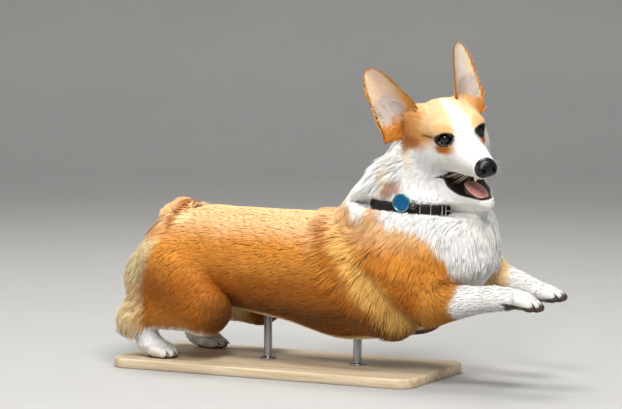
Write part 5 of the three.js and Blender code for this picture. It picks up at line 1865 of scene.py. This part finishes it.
@dataclass
class Ear:
    """A cupped ear with a round tip, its rim, its lining and its hair."""

    anatomy: Anatomy
    side: int
    base: tuple[float, float, float]
    tip: tuple[float, float, float]
    facing: tuple[float, float, float]
    flare: float
    width: float = 62.0
    thickness: float = 3.8
    palette: Palette = field(default_factory=Palette)

    @property
    def name(self) -> str:
        """The ear's side in words."""
        return side_name(self.side)

    def at(self, t: Array, s: Array, inner: bool, lift: Array | float = 0.0) -> Array:
        """Places on the ear in the dog's frame.

        Args:
            t: 0 at the base to 1 at the tip.
            s: -1 to 1 across.
            inner: Whether they are on the lining.
            lift: How far off the surface they stand.

        Returns:
            Points in three columns.
        """
        base, tip, facing = (np.array(v, float) for v in (self.base, self.tip, self.facing))
        axis = tip - base
        facing = facing - axis * (facing @ axis) / (axis @ axis)
        facing = facing / np.linalg.norm(facing)
        across = np.cross(axis, facing)
        across = across / np.linalg.norm(across)
        flare = self.flare * np.clip(1 - t / 0.4, 0, 1) ** 2
        close = np.clip(t - 0.55, 0, None) / 0.46
        half = self.width / 2 * (1.02 - 0.75 * np.maximum(t - 0.3, 0)) * np.sqrt(np.clip(1 - close ** 4, 0, 1))
        half = (half + flare / 2) * np.sqrt(np.clip((t + 0.17) / 0.2, 0.01, 1))
        radius = self.width * (0.56 + 0.2 * t)
        reach = np.arcsin(np.minimum(half / radius, 0.97))
        wall = self.thickness * (1 - 0.4 * t)
        r = radius - wall + 0.4 - lift if inner else radius - 0.9 + lift
        middle = base + t[:, None] * axis + (4 * np.sin(math.pi * t))[:, None] * facing
        middle = middle - flare[:, None] * across
        edge = np.abs(s) ** 6 * wall * 0.5
        r = r - (edge if not inner else -edge * 0.4)
        angle = reach * s
        place = middle + (r * np.sin(angle))[:, None] * across
        place = place + (radius * 0.5 - r * np.cos(angle))[:, None] * facing
        return self.anatomy.head.out(place)

    def colours(self, t: Array, s: Array, inner: bool) -> Array:
        """The ear's linear colours at places on it."""
        pal = self.palette
        medial = -self.side * s
        patch = noise(np.stack([t * 9, s * 6, t * 0 + self.side], 1), 1.0, 61)
        if not inner:
            colour = np.repeat(linear(pal.sable)[None], len(t), 0)
            return paint(colour, pal.tan, ramp(t, 0.75, 1.0) * 0.5 + 0.15 * patch)
        # Painted light: the lining of the left ear, which faces the light, is painted whiter than the right
        # one's.
        lit = self.side > 0
        colour = np.repeat(linear(pal.pink)[None], len(t), 0)
        colour = paint(colour, pal.white, 0.55 if lit else 0.15)
        pale = ramp(np.abs(s), 0.2, 0.75) * 0.6 + 0.25 * patch + 0.3 * ramp(t, 0.2, 0.0)
        colour = paint(colour, pal.cream, pale)
        # Painted shade in the middle of the cup, stronger on the right ear, which is turned from the light.
        dark = ramp(np.abs(s - 0.25 * self.side), 0.3, 0.05) * ramp(t, 0.05, 0.2) * ramp(t, 0.6, 0.35)
        colour = paint(colour, pal.ear_fold, (0.3 if lit else 0.7) * dark)
        edge = ramp(medial, 0.3, 0.7) * ramp(t, 0.72, 0.3) * 0.95
        colour = paint(colour, pal.ear_edge, edge)
        rim = np.maximum(ramp(np.abs(s), 0.84, 0.95), ramp(t, 0.93, 0.98)) * (1 - edge)
        root = ramp(t + 0.03 * patch, 0.17, 0.07)
        colour = paint(colour, pal.sable, np.maximum(rim, root))
        return paint(colour, pal.temple, 0.6 * root * ramp(patch, -0.6, 0.6))

    def build(self) -> list[bpy.types.Object]:
        """Makes the ear's skin and its hair.

        Returns:
            The pieces.
        """
        along = 1 - 1.16 * (1 - np.linspace(0, 1, 44)) ** 1.2
        t, s = np.meshgrid(along, np.linspace(-1, 1, 33), indexing="ij")

        def both_faces(read: Callable[[Array, Array, bool], Array]) -> Array:
            """What is read on the back and, the other way round, on the lining."""
            back, lining = (read(t.ravel(), s.ravel(), inner).reshape(*t.shape, 3) for inner in (False, True))
            return np.concatenate([back, lining[:, ::-1]], 1)

        points, faces = loft(both_faces(self.at))
        hues = both_faces(self.colours).reshape(-1, 3)
        # Painted shade: the ear's skin is painted a little darker than its hair.
        hues = np.concatenate([hues, hues[:1], hues[-1:]]) * 0.92
        skin = mesh_object("ear_skin_" + self.name, to_row(points), outward(points, faces),
                           Finish.SKIN.material(), colours=hues, bare=np.zeros(len(points)))
        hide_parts("ear_" + self.name)
        finish(skin)
        return [skin] + self.hair()

    def tufts(self, t: Array, s: Array, inner: bool, length: Array, height: float, lean: float,
              tone: Array, random: np.random.Generator) -> Tufts:
        """Tufts rooted on the ear.

        Args:
            t: Where they are rooted along the ear.
            s: Where they are rooted across it.
            inner: Whether they are on the lining.
            length: Their lengths.
            height: How high the tips stand.
            lean: How much they lean across the ear.
            tone: Their linear colours.
            random: The source of chance.

        Returns:
            The tufts.
        """
        root = self.at(t, s, inner)
        along = self.at(t + 0.02, s, inner) - root
        across = self.at(t, s + 0.02, inner) - root
        normal = unit(self.at(t, s, inner, 1.0) - root)
        angle = lean + 0.18 * random.normal(size=len(t)) + 0.2 * noise(root, 12, 63)
        way = unit(unit(along) + unit(across) * np.tan(np.clip(angle, -1.2, 1.2))[:, None])
        way = unit(way - (way * normal).sum(1)[:, None] * normal)
        start = 0.5 if inner else 0.0
        places = np.stack([0.002 + 0.49 * (s + 1) / 2 + start, 0.002 + 0.99 * np.clip(t, 0, 1)], 1)
        count = len(t)
        return Tufts(root, normal, way, length, np.full(count, height), random.uniform(0.7, 1.1, count),
                     tone * random.uniform(0.88, 1.1, count)[:, None], places)

    def hair(self) -> list[bpy.types.Object]:
        """The ear's short hair, its fringe and the long pale hair of its cup."""
        random = np.random.default_rng(70 + self.side)
        few = 1.0
        coat = Coat(self.anatomy, Markings(self.anatomy), None)
        made = []

        def add(label: str, tufts: Tufts, kind: Tuft) -> None:
            """Meshes some of the hair."""
            made.append(coat.piece(f"coat_ear_{self.name}_{label}", tufts, kind, False))

        count = int(7600 * few)
        t, s = random.uniform(-0.02, 0.97, count), random.uniform(-1, 1, count)
        length = random.uniform(5, 9, count)
        add("back", self.tufts(t, s, False, length, 0.9, 0.0, self.colours(t, s, False), random), Tuft.SPIKE)

        count = int(7500 * few)
        t, s = random.uniform(0.0, 0.96, count), random.uniform(-0.98, 0.98, count)
        keep = random.random(count) < 0.35 + 0.65 * np.maximum(ramp(np.abs(s), 0.3, 0.8), ramp(t, 0.7, 0.9))
        t, s = t[keep], s[keep]
        length = random.uniform(4, 8, len(t))
        add("lining", self.tufts(t, s, True, length, 0.7, 0.0, self.colours(t, s, True), random), Tuft.SPIKE)

        count = int(2500 * few)
        t = random.uniform(-0.02, 0.97, count)
        s = np.where(random.random(count) < 0.5, -1, 1) * random.uniform(0.93, 1.0, count)
        tip = random.random(count) < 0.14
        t = np.where(tip, random.uniform(0.93, 0.985, count), t)
        s = np.where(tip, random.uniform(-1, 1, count), s)
        outer = ramp(self.side * s, 0.5, 0.9) * ramp(t, 0.6, 0.2) * (self.flare > 0)
        length = random.uniform(3.5, 6, count) + 4 * outer
        fringe = self.tufts(t, s, True, length, 1.0, 0.0, self.colours(t, s, True), random)
        away = unit(self.at(t, s + 0.02, True) - self.at(t, s, True)) * np.sign(s)[:, None]
        fringe.ways = unit(fringe.ways + (0.1 + 0.25 * outer)[:, None] * away)
        fringe.widths *= 0.62
        add("fringe", fringe, Tuft.BENT)

        count = int(1500 * few)
        t, s = random.uniform(-0.05, 0.13, count), random.uniform(-0.98, 0.98, count)
        length = random.uniform(9, 15, count)
        add("foot", self.tufts(t, s, True, length, 4.0, 0.0, self.colours(t, s, True), random), Tuft.BENT)

        count = int(900 * few)
        t = random.uniform(0.0, 0.5, count) ** 1.2
        s = -self.side * random.uniform(-0.5, 0.42, count)
        pale = np.repeat((linear(self.palette.white) + linear(self.palette.pink))[None] * 0.45, count, 0)
        length = random.uniform(14, 24, count)
        add("cup", self.tufts(t, s, True, length, 4.5, self.side * 0.55, pale, random), Tuft.BENT)
        return [finish(piece) for piece in made if piece]


# Face

def solid_ball(centre: Array, axes: Array, radii: Triple, count: int = 20) -> tuple[Array, Array]:
    """An ellipsoid as a lofted part.

    Args:
        centre: Its middle.
        axes: Its own axes as a matrix's columns.
        radii: Its radii along them.
        count: How many points go round it.

    Returns:
        Points and faces, for solid_object.
    """
    profile = [(math.sin(a), -math.cos(a)) for a in np.linspace(0, math.pi, count // 2 + 2)[1:-1]]
    points, faces = loft(lathe(profile, count))
    points[-2:] = [[0, 0, -1], [0, 0, 1]]
    return (points * np.asarray(radii)) @ np.asarray(axes).T + centre, faces


@dataclass
class Nose:
    """The nose leather with its nostrils and the groove between them."""

    anatomy: Anatomy
    centre: tuple[float, float, float] = (75.0, 0.0, -33.0)
    radii: tuple[float, float, float] = (11.5, 15.5, 14.0)
    nostril: float = 7.4

    def form(self, p: Array) -> Array:
        """The nose's form in the head's frame."""
        body = ellipsoid(self.centre, self.radii)(p)
        wings = both(lambda s: ellipsoid((78.5, 8.4 * s, -36), (7.6, 6.6, 8.4)))(p)
        body = smooth_min(body, wings, 4)
        for s in (-1, 1):
            hole = ellipsoid((87, self.nostril * s, -35), (6.0, 2.7, 2.9))(p)
            slit = ellipsoid((82, (self.nostril + 4.6) * s, -38.4), (7, 4.6, 1.0))(p)
            body = smooth_max(body, -smooth_min(hole, slit, 1.5), 1.2)
        groove = taper((88.2, 0, -34), (85, 0, -50), 0.9, 1.1)(p)
        return smooth_max(body, -groove, 1.2)

    def build(self) -> bpy.types.Object:
        """Makes the nose."""
        step = 0.8
        lines = (spaced((60, 90, step)), spaced((-19, 19, step)), spaced((-51, -16, step)))
        piece = turned_mesh("nose_leather", self.form, lines, self.anatomy.head.out, Finish.NOSE.material())
        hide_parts("nose")
        return finish(piece)


@dataclass
class Eyes:
    """The wet dark eyes and the black rims of their lids."""

    anatomy: Anatomy
    pupil: float = 0.36
    iris: float = 0.78
    rim: float = 0.95
    brown: tuple[int, int, int] = (26, 14, 9)
    light_brown: tuple[int, int, int] = (44, 24, 14)
    black: tuple[int, int, int] = (6, 5, 5)
    iris_edge: tuple[int, int, int] = (14, 9, 8)
    white: tuple[int, int, int] = (70, 52, 46)

    def ball(self, side: int) -> bpy.types.Object:
        """Makes one eye."""
        a = self.anatomy
        angles = np.linspace(0.02, math.pi - 0.05, 40)
        radius = a.eye_radius + 0.7 * np.exp(-(angles / 0.55) ** 4)
        part = loft(lathe([(r * math.sin(t), r * math.cos(t)) for r, t in zip(radius, angles)], 40))
        frame = a.eye_frame(side)
        centre = a.eye_centre(side)

        def place(q: Array) -> Array:
            """Puts the eye into the dog's frame."""
            return a.head.out(q @ frame.T + centre)

        def colours(p: Array) -> Array:
            """Pupil, iris and the dark white of the eye, by the angle from the eye's axis."""
            q = unit((a.head.into(p) - centre) @ frame)
            angle = np.arccos(np.clip(q[:, 2], -1, 1))
            turn = np.arctan2(q[:, 1], q[:, 0])
            spokes = 0.5 + 0.5 * noise(np.stack([turn * 9, angle * 3, angle * 0], 1), 1, 71)
            colour = paint(linear(self.brown), self.light_brown, spokes)
            colour = paint(colour, self.black, ramp(angle, self.pupil + 0.05, self.pupil - 0.03))
            colour = paint(colour, self.iris_edge, ramp(angle, self.iris - 0.12, self.iris))
            return paint(colour, self.white, ramp(angle, self.iris + 0.14, self.iris + 0.3))

        name = side_name(side)
        piece = solid_object("eye_ball_" + name, [part], place, Finish.EYE.material(), colours)
        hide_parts("eye_" + name)
        return finish(piece)

    def rims(self) -> bpy.types.Object:
        """Makes the rims of the lids round both eyes."""
        a = self.anatomy
        parts = []
        for side in (-1, 1):
            t = np.concatenate([np.linspace(-1, 1, 33)[:-1], np.linspace(1, -1, 33)[:-1]])
            curve = np.where(np.arange(64) < 32, 9.4, -8.2) * (1 - t * t) + 0.2 - 0.8 * t
            flat = np.stack([11.25 * t, curve], 1)
            depth = np.sqrt(np.maximum((a.eye_radius + 0.7) ** 2 - (flat ** 2).sum(1), 4.0))
            q = np.concatenate([flat, depth[:, None]], 1)
            rings = sweep(q, unit(q), circle(self.rim, 8) * [1.15, 0.8], True)
            points, faces = loft(rings, along=True)
            parts.append((points @ a.eye_frame(side).T + a.eye_centre(side), faces))
        piece = solid_object("eyelid_rims", parts, a.head.out, Finish.LID.material())
        return finish(piece)

    def build(self) -> list[bpy.types.Object]:
        """Makes both eyes and their rims."""
        return [self.ball(-1), self.ball(1), self.rims()]


@dataclass
class Mouth:
    """The tongue and the upper teeth."""

    anatomy: Anatomy
    tongue_centre: tuple[float, float, float] = (34.0, 0.0, -73.6)
    tongue_radii: tuple[float, float, float] = (28.0, 11.5, 5.5)
    tongue_tilt: float = 14.0

    def tongue(self) -> bpy.types.Object:
        """Makes the tongue, with its groove and turned-up edges."""
        turn = np.array(Matrix.Rotation(math.radians(self.tongue_tilt), 3, "Y"))
        rx, ry, rz = self.tongue_radii
        angles = np.linspace(0, 2 * math.pi, 28, endpoint=False)
        rings = []
        for u in np.sin(np.linspace(-math.pi / 2 + 0.05, math.pi / 2 - 0.05, 24)):
            full = math.sqrt(1 - u * u) ** (0.7 if u > 0 else 1.0)
            y = ry * full * np.cos(angles)
            z = rz * full * np.sin(angles)
            top = np.sin(angles) > 0
            z = z + np.where(top, -1.9 * np.exp(-(y / 2.2) ** 2) * full, 0) + 0.011 * y * y
            rings.append(np.stack([np.full(28, rx * u), y, z], 1))
        points, faces = loft(np.array(rings))
        place = points @ turn.T + np.array(self.tongue_centre)
        piece = solid_object("tongue_soft", [(place, faces)], self.anatomy.head.out, Finish.TONGUE.material())
        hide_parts("tongue")
        return finish(piece)

    def teeth(self) -> bpy.types.Object:
        """Makes the teeth as curved, tapered pegs in their gum."""
        pegs = [(66.6 - 0.9 * n * n, (1.5 + 2.9 * n) * s, 4.4, 1.5) for n in range(3) for s in (-1, 1)]
        pegs += [(58.0, 9.0 * s, 8.0, 2.3) for s in (-1, 1)]
        pegs += [(x, w * s, 1.6, 1.7) for x, w in ((49.0, 11.0), (42.0, 12.4), (34.5, 13.8)) for s in (-1, 1)]
        parts = []
        for x, y, length, radius in pegs:
            s = np.linspace(0, 1, 9)
            path = np.stack([x - 0.18 * length * s ** 2, y * (1 - 0.02 * s), -47.0 - length * s], 1)
            size = radius * np.sqrt(np.clip(1 - s ** 2.2, 0.003, 1))
            rings = path[:, None] + size[:, None, None] * np.concatenate([circle(1, 12), np.zeros((12, 1))], 1)
            parts.append(loft(rings))
        piece = solid_object("teeth_row", parts, self.anatomy.head.out, Finish.TOOTH.material())
        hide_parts("teeth_upper")
        return finish(piece)

    def build(self) -> list[bpy.types.Object]:
        """Makes the tongue and the teeth."""
        return [self.tongue(), self.teeth()]


@dataclass
class Whiskers:
    """The whiskers of the muzzle and brows."""

    anatomy: Anatomy
    length: float = 0.026
    thickness: float = 0.00016

    def build(self) -> bpy.types.Object:
        """Makes all whiskers with their tool."""
        head = self.anatomy.head
        random = np.random.default_rng(5)
        roots, ways = [], []
        for side in (-1, 1):
            for row in range(4):
                for place in range(5):
                    x = 60 - 5.5 * place + random.normal()
                    z = -34 - 3.6 * row + random.normal() * 0.5
                    roots.append((x, (15.5 + 1.4 * place) * side, z))
                    ways.append((0.15 - 0.18 * place, side, -0.1 - 0.16 * row + 0.1 * random.normal()))
            for k in range(3):
                roots.append((14 + random.normal(), (20 + 4 * k) * side, 13))
                ways.append((0.5, 0.5 * side, 0.9))
        points = head.out(np.array(roots))
        for _ in range(6):
            gap = self.anatomy.head_form(points)
            slope = np.stack([self.anatomy.head_form(points + d) - self.anatomy.head_form(points - d)
                              for d in np.eye(3) * 0.5], 1)
            points = points - (gap + 1.5)[:, None] * unit(slope)
        start = start_mesh("whisker_roots", points, [])
        way = start.data.attributes.new("way", "FLOAT_VECTOR", "POINT")
        way.data.foreach_set("vector", head.direction(unit(np.array(ways))).astype(np.float32).ravel())
        values = {"Length": self.length, "Thickness": self.thickness, "Bend": 0.005, "Seed": 11}
        return finish(whisker_tool().use("whiskers", start, values))


# Feet

@dataclass
class Feet:
    """The claws and the pads of all four feet."""

    anatomy: Anatomy
    claw_radius: float = 2.3
    claw_root: tuple[int, int, int] = (96, 82, 70)
    claw_tip: tuple[int, int, int] = (38, 31, 28)

    def claws(self) -> bpy.types.Object:
        """Makes the claws as curved horns."""
        parts, tones = [], []
        for leg in self.anatomy.legs:
            for spread, reach in leg.toes:
                s = np.linspace(-0.35, 1, 12)
                path = np.array([leg.paw_at(reach + 1 + 9.6 * u, spread, 0.6 - 5.4 * max(u, 0) ** 1.7 - 0.8 * u)
                                 for u in s])
                size = self.claw_radius * np.clip(1 - np.maximum(s, 0) ** 1.5, 0.05, 1) ** 0.8
                ring = sweep(path, np.repeat([[0.0, 0, 1]], 12, 0), circle(1, 12) * [0.8, 1.0], False)
                rings = path[:, None] + (ring - path[:, None]) * size[:, None, None]
                parts.append(loft(rings))
                tone = np.concatenate([np.repeat(s, 12), [-0.35, 1]])
                tones.append(paint(linear(self.claw_root), self.claw_tip, ramp(tone, 0.1, 0.6)))
        colours = np.concatenate(tones)
        piece = solid_object("claws", parts, lambda p: p, Finish.CLAW.material(), lambda p: colours)
        names = ["hindfoot_right", "hindfoot_left", "foreleg_right", "foreleg_left"]
        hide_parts(*[f"claw_{name}_{i}" for name in names for i in range(1, 5)])
        return finish(piece)

    def pads(self) -> bpy.types.Object:
        """Makes the pads under the toes and the sole."""
        parts = []
        for leg in self.anatomy.legs:
            z = leg.size
            here = leg.paw_at(0, 0, 0)
            axes = np.stack([leg.paw_at(*way) - here for way in np.eye(3)], 1)
            for spread, reach in leg.toes:
                place, size = (reach - 0.5, -6.3 * z), (7.2, 4.0 * z, 3.5 * z)
                if not leg.hind:
                    place, size = (reach + 0.5, -7.2 * z), (9.2, 4.7 * z, 5.4 * z)
                parts.append(solid_ball(leg.paw_at(place[0], spread, place[1]), axes, size))
            deep = 3.7 * z if leg.hind else 5.6 * z
            for spread, back in ((0, -5), (-6, -9), (6, -9)):
                parts.append(solid_ball(leg.paw_at(back, spread, -6.5 * z), axes, (8.5, 7.5, deep)))
        piece = solid_object("paw_pads", parts, lambda p: p, Finish.PAD.material())
        return finish(piece)

    def build(self) -> list[bpy.types.Object]:
        """Makes the claws and the pads."""
        return [self.claws(), self.pads()]


# Collar

@dataclass
class Collar:
    """The strap with its stitches, wire loops, buckle, tag and bell."""

    anatomy: Anatomy
    width: float = 15.0
    thickness: float = 3.0
    tag_radius: float = 13.0
    bell_radius: float = 4.8

    def place(self, p: Array) -> Array:
        """Points of the strap's own frame in the dog's frame."""
        turn = np.array(Matrix.Rotation(math.radians(-self.anatomy.collar_tilt), 3, "Y"))
        return p @ turn.T + np.array(self.anatomy.collar_centre)

    def spot(self, degrees: float, outward: float) -> tuple[Array, Array]:
        """A place on the strap, and its axes along, up and outward as a matrix's columns."""
        a = math.radians(degrees)
        rx, ry = self.anatomy.collar_radii
        normal = unit(np.array([math.cos(a) / rx, math.sin(a) / ry, 0.0]))
        along = np.array([-normal[1], normal[0], 0.0])
        at = np.array([rx * math.cos(a), ry * math.sin(a), 0.0]) + normal * outward
        return at, np.stack([along, [0.0, 0.0, 1.0], normal], 1)

    def ring(self, outward: float, up: float, count: int = 180) -> Array:
        """A path round the strap."""
        path = np.array([self.spot(d, outward)[0] for d in np.linspace(0, 360, count, endpoint=False)])
        return path + [0, 0, up]

    def strap(self) -> list[bpy.types.Object]:
        """Makes the strap and its two rows of stitches."""
        path = self.ring(-self.thickness / 2, 0)
        section = rounded_box(self.thickness, self.width, 1.3, 5)
        section = section * (1 + 0.05 * np.cos(section[:, 1:] / self.width * 2 * math.pi) * [1, 0])
        rings = sweep(path, np.repeat([[0.0, 0, 1]], len(path), 0), section, True)
        piece = solid_object("collar_strap_leather", [loft(rings, along=True)], self.place,
                             Finish.LEATHER.material())
        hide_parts("collar_strap")
        rows = [self.ring(0.1, up) for up in (-5.4, 5.4)]
        count = len(rows[0])
        edges = [(k * count + i, k * count + (i + 1) % count) for k in (0, 1) for i in range(count)]
        start = start_mesh("stitch_lines", self.place(np.concatenate(rows)), edges)
        values = {"Step": 0.0042, "Thread": 0.00045, "Reach": 0.0014}
        stitches = stitch_tool().use("collar_stitches", start, values)
        return [finish(piece), finish(stitches)]

    def wire(self, degrees: float, outward: float, path: Array, radius: float, closed: bool = True
             ) -> tuple[Array, Array]:
        """A bent wire on the strap, from a path along, up and outward."""
        at, axes = self.spot(degrees, outward)
        rings = sweep(path, np.repeat([[1.0, 0.2, 0.1]], len(path), 0), circle(radius, 12), closed)
        points, faces = loft(rings, along=closed)
        return points @ axes.T + at, faces

    def metal(self) -> list[bpy.types.Object]:
        """Makes the wire loops and the buckle."""
        made = []
        for name, degrees in (("rear", -62.0), ("front", -49.0)):
            flat = rounded_box(18.9, 7.4, 3.0, 6)
            path = np.stack([np.zeros(len(flat)), flat[:, 0], flat[:, 1]], 1)
            part = self.wire(degrees, -1.3, path, 0.85)
            piece = solid_object("wire_loop_" + name, [part], self.place, Finish.STEEL.material())
            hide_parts("collar_keeper_" + name)
            made.append(finish(piece))
        flat = rounded_box(15.4, 21.2, 4.0, 6)
        path = np.stack([flat[:, 0], flat[:, 1], np.full(len(flat), 0.6)], 1)
        bar = np.stack([np.full(9, -1.5), np.linspace(-10.4, 10.4, 9), np.full(9, 0.6)], 1)
        bow = 1.2 + 1.2 * np.sin(np.linspace(0, math.pi, 9))
        prong = np.stack([np.linspace(-2, 8.2, 9), np.zeros(9), bow], 1)
        spot = (-27, 1.0)
        parts = [self.wire(*spot, path, 1.2)]
        at, axes = self.spot(*spot)
        for line, radius, up in ((bar, 0.9, (1.0, 0, 0)), (prong, 0.9, (0.0, 1, 0))):
            points, faces = loft(sweep(line, np.repeat([up], 9, 0), circle(radius, 12), False))
            parts.append((points @ axes.T + at, faces))
        piece = solid_object("buckle", parts, self.place, Finish.STEEL.material())
        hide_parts("collar_buckle")
        return made + [finish(piece)]

    def tag(self) -> list[bpy.types.Object]:
        """Makes the tag's rim and its domed enamel."""
        at, axes = self.spot(-85, 0.4)
        at = at + [0, 0, 8]
        r = self.tag_radius
        rim = [(r - 2.6, 1.3), (r - 2.2, 2.3), (r - 1.4, 2.7), (r - 0.5, 2.3), (r, 1.4), (r - 0.3, 0.4),
               (r - 1.5, 0.1)]
        enamel = [(0.2, 2.45), (4.0, 2.4), (8.0, 2.15), (r - 3.0, 1.8), (r - 2.2, 1.5), (r - 2.0, 0.6)]
        made = []
        for name, profile, kind in (("tag_rim", rim, Finish.RIM), ("tag_enamel_face", enamel, Finish.ENAMEL)):
            points, faces = loft(lathe(profile, 56))
            piece = solid_object(name, [(points @ axes.T + at, faces)], self.place, kind.material())
            made.append(finish(piece))
        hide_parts("collar_tag")
        return made

    def bell(self) -> bpy.types.Object:
        """Makes the bell with its waist, its slot and its loop."""
        at, axes = self.spot(-70, 5.6)
        at = at + [0, 0, 5]
        r = self.bell_radius
        profile = [(r * math.sin(a) * (1.05 if abs(a - 1.6) < 0.14 else 1.0), -r * math.cos(a))
                   for a in np.linspace(0.08, math.pi - 0.08, 28)]
        points, faces = loft(lathe(profile, 32))
        slot = (np.abs(points[:, 0]) < 0.7) & (points[:, 2] < -0.3 * r)
        points[slot] *= 0.88
        flat = circle(2.0, 20)
        loop = np.stack([flat[:, 0], np.zeros(20), r + 1.2 + flat[:, 1]], 1)
        rings = sweep(loop, np.repeat([[0.0, 1, 0]], 20, 0), circle(0.5, 8), True)
        loop_points, loop_faces = loft(rings, along=True)
        upright = axes[:, [0, 2, 1]]
        parts = [(points @ upright.T + at, faces), (loop_points @ upright.T + at, loop_faces)]
        piece = solid_object("bell_small", parts, self.place, Finish.BELL.material())
        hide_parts("collar_bell")
        return finish(piece)

    def build(self) -> list[bpy.types.Object]:
        """Makes the whole collar."""
        return self.strap() + self.metal() + self.tag() + [self.bell()]


# Stand and studio

@dataclass
class Stand:
    """The flat wooden base and the two steel rods that carry the dog."""

    length: float = 480.0
    width: float = 200.0
    height: float = 14.0
    corner: float = 26.0
    middle: float = -22.0
    rod_radius: float = 6.0
    rods: tuple[tuple[str, float], ...] = (("rear", -52.0), ("front", 92.0))

    def base(self) -> bpy.types.Object:
        """Makes the base with rounded edges."""
        rings = []
        top = self.height
        for z, inset in ((0, 3.2), (0, 2.4), (0.5, 0.8), (1.4, 0), (top - 2.2, 0), (top - 1.2, 0.3),
                         (top - 0.3, 1.1), (top, 2.2), (top, 3.2)):
            flat = rounded_box(self.length - 2 * inset, self.width - 2 * inset, self.corner - inset, 12)
            rings.append(np.concatenate([flat + [self.middle, 0], np.full((len(flat), 1), z - top)], 1))
        piece = solid_object("base_board", [loft(np.array(rings))], lambda p: p, Finish.BOARD.material())
        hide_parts("stand_base")
        return finish(piece)

    def rod(self, name: str, x: float) -> bpy.types.Object:
        """Makes one rod with the flange at its foot."""
        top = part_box("stand_rod_" + name)[1][2] * 1000 - self.height + 12
        r = self.rod_radius
        profile = [(r + 5.4, 0.1), (r + 5.9, 0.5), (r + 5.9, 1.9), (r + 5.2, 2.6), (r + 1.2, 3.0),
                   (r + 0.4, 3.4), (r, 4.2), (r, 5.0), (r, top - 2), (r - 0.6, top - 0.6), (r - 2, top)]
        points, faces = loft(lathe(profile, 48))
        piece = solid_object("rod_" + name, [(points + [x, 0, 0], faces)], lambda p: p, Finish.ROD.material())
        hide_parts("stand_rod_" + name)
        return finish(piece)

    def build(self) -> list[bpy.types.Object]:
        """Makes the base and its rods."""
        return [self.base()] + [self.rod(name, x) for name, x in self.rods]


@dataclass
class Studio:
    """The floor with its backdrop, the lights and the camera."""

    azimuth: float = 27.0
    elevation: float = 5.0
    distance: float = 3.8
    lens: float = 153.96
    target: tuple[float, float, float] = (0.0396, 0.0, 0.24)
    floor_front: float = 5.2
    floor_side: float = 6.0
    floor_step: float = 0.54
    wall_step: float = 0.3
    world_strength: float = 0.34
    lights: tuple[tuple[str, Triple, float, float, Triple], ...] = (
        ("key", (1.5, -1.4, 2.9), 1.1, 80, (1.0, 0.98, 0.94)),
        ("fill", (-2.6, -1.8, 1.3), 2.0, 22, (0.99, 0.98, 0.97)),
        ("top", (-0.5, 0.5, 2.7), 1.4, 64, (1.0, 0.98, 0.95)),
        ("glint", (0.75, -1.76, 1.61), 0.5, 25, (1.0, 1.0, 1.0)),
    )

    def floor(self) -> None:
        """Makes the floor, which curves up to a wall behind."""
        turn = np.clip((np.linspace(0, 1, 25) - 0.62) / 0.12, 0, 1)[:-1] * math.pi / 2
        run = np.concatenate([[0], np.cumsum(np.cos(turn))]) * self.floor_step - self.floor_front
        rise = np.concatenate([[0], np.cumsum(np.sin(turn))]) * self.wall_step
        a = math.radians(self.azimuth)
        back, across = np.array([-math.sin(a), math.cos(a), 0]), np.array([math.cos(a), math.sin(a), 0])
        line = run[:, None] * back + rise[:, None] * [0, 0, 1.0]
        side = self.floor_side
        grid = line[:, None] + np.linspace(-side, side, 9)[None, :, None] * across
        points, faces = loft(grid, around=False, caps=False)
        floor = mesh_object("studio_floor", points, faces[:, ::-1], Finish.FLOOR.material())

    def light(self, name: str, place: Triple, size: float, power: float, colour: Triple) -> None:
        """Adds a soft light that faces the dog."""
        lamp = bpy.data.lights.new(name, "AREA")
        lamp.shape = "DISK"
        lamp.size = size
        lamp.energy = power
        lamp.color = colour
        made = linked(name, lamp)
        made.location = place
        made.rotation_euler = (Vector(self.target) - Vector(place)).to_track_quat("-Z", "Y").to_euler()

    def camera(self) -> None:
        """Adds the camera at the photograph's viewing angle."""
        data = bpy.data.cameras.new("camera")
        data.lens = self.lens
        data.sensor_width = 36.0
        data.clip_start = 0.1
        data.clip_end = 60.0
        a, e = math.radians(self.azimuth), math.radians(self.elevation)
        way = Vector((math.sin(a) * math.cos(e), -math.cos(a) * math.cos(e), math.sin(e)))
        made = linked("camera", data)
        made.location = Vector(self.target) + self.distance * way
        made.rotation_euler = (-way).to_track_quat("-Z", "Y").to_euler()
        bpy.context.scene.camera = made
        bpy.context.scene.view_settings.view_transform = "Standard"

    def build(self) -> None:
        """Makes the studio."""
        self.floor()
        self.camera()
        for light in self.lights:
            self.light(*light)
        world = bpy.data.worlds.new("world")
        bpy.context.scene.world = world
        world.use_nodes = True
        graph = Graph(world.node_tree)
        inputs = {"Color": (0.95, 0.97, 1.0, 1), "Strength": self.world_strength}
        back = graph.node("ShaderNodeBackground", None, inputs)
        graph.node("ShaderNodeOutputWorld", None, {"Surface": back.outputs[0]})


def main() -> None:
    """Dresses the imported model, piece by piece."""
    logging.basicConfig(level=logging.INFO, format="%(message)s", stream=sys.stdout)
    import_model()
    Studio().build()
    anatomy = Anatomy()
    markings = Markings(anatomy)
    ears = [Ear(anatomy, -1, (-54, -52, 11), (-64.5, -94, 95), (0.87, -0.48, 0.12), 5.0),
            Ear(anatomy, 1, (-50, 41, 10), (-54, 58, 106), (0.88, 0.46, 0.12), 0.0)]
    parts = [Stand(), Body(anatomy, markings), *ears, Nose(anatomy), Eyes(anatomy), Mouth(anatomy),
             Whiskers(anatomy), Feet(anatomy), Collar(anatomy)]
    total = 0
    for part in parts:
        made = part.build()
        for piece in made if isinstance(made, list) else [made]:
            count = sum(len(face.vertices) - 2 for face in piece.data.polygons)
            total += count
            log.info("%s: %d triangles", piece.name, count)
    log.info("all pieces: %d triangles", total)


if __name__ == "__main__":
    main()
